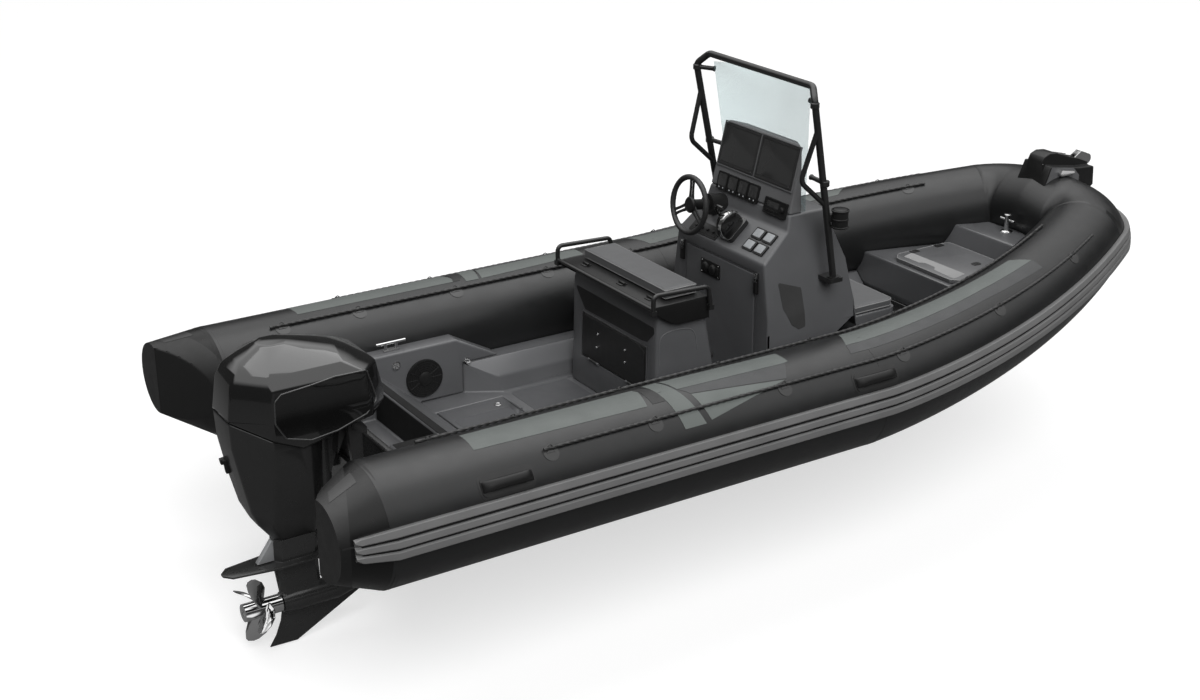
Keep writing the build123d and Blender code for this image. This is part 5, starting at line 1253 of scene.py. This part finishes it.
BITT = Vector((BOW_X - 0.313, 0, 0.5353))
BITT_FOOT = ((0.0385, 0), (0.0385, 0.005), (0.030, 0.011), (0.022, 0.014))
BITT_CAP = ((0.0175, 0), (0.0225, 0.003), (0.0225, 0.010), (0.018, 0.0126), (0.004, 0.0129))
bitt = Builder()
bitt.lathe(BITT, (0, 0, 1), BITT_FOOT, 36)
bitt.lathe(BITT + Vector((0, 0, 0.106)), (0, 0, 1), BITT_CAP, 32)
bitt.done("bitt_flanges", "hull", "steel", "chrome")

# ---------------- stern quarters
QUARTER_Y = 0.570
SPEAKER = (-1.538, 0.218)           # x and z
VENT = (-1.704, 0.326)
EYE = (-1.267, 0.259)
GRILLE_RADII = (0.104, 0.090, 0.076, 0.062, 0.050)
SPEAKER_DOME = ((0.040, 0), (0.040, 0.006), (0.030, 0.012), (0.010, 0.0155), (0.003, 0.016))
VENT_FLANGE = ((0.027, 0), (0.027, 0.004), (0.022, 0.006), (0.021, 0.003), (0.003, 0.003))
VENT_OPENING_R = 0.021
EYE_ARCH = ((-0.012, 0.003), (-0.012, 0.020), (0, 0.028), (0.012, 0.020), (0.012, 0.003))     # x and height


def inner_wall(side):
    """Placer on a quarter's inner wall, by x and z; its height runs inboard."""
    return lambda x, z, high: Vector((x, side * (QUARTER_Y - high), z))


def speaker_grille(made, at, inboard):
    """Five rings, six bars across them and a dome."""
    for radius in GRILLE_RADII:
        ring = [(radius - 0.003, 0), (radius - 0.0022, 0.0032), (radius, 0.004), (radius + 0.0022, 0.0032),
                (radius + 0.003, 0)]
        made.lathe(at(*SPEAKER, 0.0115), inboard, ring, 56)
    x, z = SPEAKER
    for k in range(6):
        t = pi * k / 6
        bar = [at(x + end * 0.102 * cos(t), z + end * 0.102 * sin(t), 0.0135) for end in (1, -1)]
        made.sweep(bar, 0.0028, 8)
    made.lathe(at(*SPEAKER, 0.012), inboard, SPEAKER_DOME, 32)


def vent_and_eye(made, at, inboard):
    """Round vent with five bars, and an eye on its rounded foot."""
    made.lathe(at(*VENT, -0.001), inboard, VENT_FLANGE, 32)
    x, z = VENT
    for k in range(-2, 3):
        up = 0.008 * k
        half = (VENT_OPENING_R**2 - up**2) ** 0.5
        made.sweep([at(x - half, z + up, 0.004), at(x + half, z + up, 0.004)], 0.0017, 8)
    x, z = EYE
    plate(made, at, x, z, 0.034, 0.040, 0.004, 0.012, -0.001)
    made.sweep(smooth_path([at(x + dx, z, high) for dx, high in EYE_ARCH], 5), 0.0034, 10)


grilles, fittings = Builder(), Builder()
for side in SIDES.values():
    speaker_grille(grilles, inner_wall(side), (0, -side, 0))
    vent_and_eye(fittings, inner_wall(side), (0, -side, 0))
grilles.done("speaker_grilles", "hull", "black_plastic", crease=50)
fittings.done("quarter_fittings", "hull", "steel", crease=40)

# ---------------- non-skid fields
deck_top = on_plane(*level_plane(0.350))
sole_top = on_plane(*level_plane(SOLE_Z))
HATCH_BODY = BODY_OF["deck_hatch"]
LATCH_X, LATCH_Y, LATCH_R = -1.213, 0.325, 0.026
LATCH_RING = ((0.019, 0), (0.020, 0.002), (0.016, 0.003), (0.014, 0.001), (0.003, 0.001))


def field(made, place, left, right, low, high, corner, thick=0.0012):
    """Thin rectangle between two values of u and two of v."""
    plate(made, place, (left + right) / 2, (low + high) / 2, right - left, high - low, thick, corner, -0.001)


stern, sole, hatch, ring_latch = Builder(), Builder(), Builder(), Builder()
field(stern, deck_top, -1.936, -1.891, -0.545, 0.545, 0.008)
# Dark field on the motor well's forward wall: painted shade in the well; the fields on the decks are dark
# non-skid.
field(stern, on_plane(*aft_plane(-1.9405)), -0.335, 0.335, 0.020, 0.335, 0.02, 0.0014)
for low, high in ((0.362, 0.545), (-0.545, -0.362)):
    field(stern, deck_top, -2.190, -1.945, low, high, 0.012)
stern.done("stern_tread_and_well_shade", "hull", "gelcoat", "tread_dark", crease=40)
for first_x, last_x, half in ((-1.075, -0.700, 0.430), (-0.262, 0.018, 0.420), (1.090, 1.530, 0.420)):
    field(sole, sole_top, first_x, last_x, -half, half, 0.03)
for low, high in ((0.436, 0.458), (-0.458, -0.436)):
    field(sole, sole_top, -0.690, 1.480, low, high, 0.01, 0.0008)
sole.done("sole_tread", "hull", "gelcoat", "non_skid", crease=40)
field(hatch, sole_top, -1.520, -1.180, -0.375, 0.270, 0.03)
hatch.done("hatch_tread", HATCH_BODY, "gelcoat", "non_skid", crease=40)
disc = [(LATCH_X + LATCH_R * cos(t), LATCH_Y + LATCH_R * sin(t)) for t in full_turn(28)]
ring_latch.slab(disc, sole_top, 0.0022, -0.001)
ring_latch.lathe(sole_top(LATCH_X, LATCH_Y, 0.002), (0, 0, 1), LATCH_RING, 28)
ring_latch.done("hatch_latch", HATCH_BODY, "steel", crease=40)

# ---------------- outboard motor
MOTOR = BODY_OF["engine_cowl"]
COWL_PANEL = ((-2.742, 0.560), (-2.735, 0.668), (-2.700, 0.700), (-2.550, 0.712), (-2.420, 0.726),
              (-2.250, 0.722), (-2.200, 0.560), (-2.270, 0.500), (-2.420, 0.448), (-2.560, 0.430),
              (-2.690, 0.470))
TRIM_PIECE = ((-2.795, -0.300), (-2.698, -0.300), (-2.694, -0.190), (-2.712, -0.186))
cowl_tree = surface_of(moulded["engine_cowl"])
for side_name, side in SIDES.items():
    gloss, edge = Builder(), Builder()
    place = onto(cowl_tree, *side_plane(side, 0.6))
    outline = rounded(flipped(COWL_PANEL, side), 0.03)
    gloss.slab(outline, place, 0.0025, -0.002, step=(0.03, 0.03))
    line = [place(u, v, 0.003) for u, v in outline]
    edge.sweep(smooth_path(line + line[:1], 3), 0.0045, 8, ends=False)
    edge.done(f"cowl_panel_edge_{side_name}", MOTOR, "engine_black", "engine_edge", crease=60)
    gloss.done(f"cowl_panel_{side_name}", MOTOR, "engine_black", "engine_gloss", crease=40)

trim, wedge = Builder(), Builder()
rear = onto(surface_of(moulded["engine_cowl"], moulded["midsection"]), *aft_plane(-3.2))
plate(trim, rear, -0.088, 0.236, 0.052, 0.078, 0.016, 0.010, -0.003)
plate(trim, rear, -0.088, 0.262, 0.030, 0.030, 0.026, 0.006, 0.010)
trim.done("motor_latch", MOTOR, "engine_metal", "black_plastic", bevel=0.003)
wedge.slab(TRIM_PIECE, on_plane(*side_plane(-1, 0.016)), 0.0, -0.032)
wedge.done("motor_trim_piece", MOTOR, "engine_metal", "anode", bevel=0.004)


# ---------------- camera, floor and light
IMAGE_WIDTH = 1200
FOCAL = 1742.0          # in pixels of the photograph's width
YAW, PITCH = radians(32.65), radians(22.35)
CAMERA_AT = (-5.48, -7.38, 4.01)
SENSOR_WIDTH = 36.0
camera = bpy.data.objects.new("camera", bpy.data.cameras.new("camera"))
bpy.context.scene.collection.objects.link(camera)
camera.data.sensor_width = SENSOR_WIDTH
camera.data.lens = SENSOR_WIDTH * FOCAL / IMAGE_WIDTH
camera.data.clip_end = 300
camera.location = CAMERA_AT
camera.rotation_euler = (pi / 2 - PITCH, 0, -YAW)
bpy.context.scene.camera = camera

FLOOR_Z = CAD_BOX[0][2] - 0.012
FLOOR_GLOW = 0.60
FLOOR_GLOSSY = 0.10     # share of the white floor that reflections see
FLOOR_SHADE = 0.50      # diffuse shade that the camera sees, and the one that lights the boat from below
FLOOR_BOUNCE = 0.07
FLOOR_HALF = 60


def seen_rays(tree, glossy):
    """1 for camera and transmission rays, a share for glossy ones and 0 for the rest."""
    rays = tree.nodes.new("ShaderNodeLightPath")
    total = computed(tree, "MULTIPLY", rays.outputs["Is Glossy Ray"], glossy)
    for ray in ("Is Camera Ray", "Is Transmission Ray"):
        total = computed(tree, "MAXIMUM", total, rays.outputs[ray])
    return total


def diffuse(tree, shade):
    node = tree.nodes.new("ShaderNodeBsdfDiffuse")
    node.inputs["Color"].default_value = (*grey(shade), 1)
    return node.outputs[0]


def mixed(tree, factor, first, second):
    node = tree.nodes.new("ShaderNodeMixShader")
    tree.links.new(factor, node.inputs["Fac"])
    tree.links.new(first, node.inputs[1])
    tree.links.new(second, node.inputs[2])
    return node.outputs[0]


floor_maker = Builder()
floor_maker.grid([[(x, y, FLOOR_Z) for y in (-FLOOR_HALF, FLOOR_HALF)] for x in (-FLOOR_HALF, FLOOR_HALF)])
floor_mesh = bpy.data.meshes.new("floor")
floor_maker.bm.to_mesh(floor_mesh)
floor_maker.bm.free()
floor = bpy.data.objects.new("floor", floor_mesh)
bpy.context.scene.collection.objects.link(floor)
floor_paint = bpy.data.materials.new("floor")
floor_paint.use_nodes = True
tree = floor_paint.node_tree
glow = tree.nodes.new("ShaderNodeEmission")
glow.inputs["Strength"].default_value = FLOOR_GLOW
lit = tree.nodes.new("ShaderNodeAddShader")
tree.links.new(diffuse(tree, FLOOR_SHADE), lit.inputs[0])
tree.links.new(glow.outputs[0], lit.inputs[1])
surface = mixed(tree, seen_rays(tree, FLOOR_GLOSSY), diffuse(tree, FLOOR_BOUNCE), lit.outputs[0])
tree.links.new(surface, tree.nodes["Material Output"].inputs["Surface"])
floor.data.materials.append(floor_paint)

WORLD_DIFFUSE = 0.06
CEILING = 1.3           # reflections see a bright ceiling over dark walls
WALLS = 0.05
CEILING_EDGE = (0.34, 0.56)     # upward share of a ray where the walls end and where the ceiling is full
world = bpy.data.worlds.new("studio")
bpy.context.scene.world = world
world.use_nodes = True
tree = world.node_tree
ambient = tree.nodes["Background"]
white = tree.nodes.new("ShaderNodeBackground")
ceiling = tree.nodes.new("ShaderNodeBackground")
for background in (ambient, white, ceiling):
    background.inputs["Color"].default_value = (1, 1, 1, 1)
ambient.inputs["Strength"].default_value = WORLD_DIFFUSE
upward = tree.nodes.new("ShaderNodeSeparateXYZ")
tree.links.new(tree.nodes.new("ShaderNodeTexCoord").outputs["Generated"], upward.inputs[0])
height = ranged(tree, upward.outputs["Z"], WALLS, CEILING, *CEILING_EDGE)
tree.links.new(height, ceiling.inputs["Strength"])
rays = tree.nodes.new("ShaderNodeLightPath")
sky = mixed(tree, rays.outputs["Is Glossy Ray"], ambient.outputs[0], ceiling.outputs[0])
sky = mixed(tree, seen_rays(tree, 0.0), sky, white.outputs[0])
tree.links.new(sky, tree.nodes["World Output"].inputs["Surface"])


def lamp(name, kind, at, power):
    """Lamp that looks at the origin."""
    o = bpy.data.objects.new(name, bpy.data.lights.new(name, kind))
    o.data.energy = power
    o.location = at
    o.rotation_euler = (-Vector(at)).to_track_quat("-Z", "Y").to_euler()
    bpy.context.scene.collection.objects.link(o)
    return o


key = lamp("key", "SUN", (-2.2, -7.5, 7.0), 3.4)
key.data.angle = radians(45)
key.visible_glossy = False
overhead = lamp("overhead", "AREA", (0.0, 1.0, 8.0), 380)
overhead.data.shape = "RECTANGLE"
overhead.data.size, overhead.data.size_y = 12, 7

bpy.context.scene.view_settings.view_transform = "Standard"
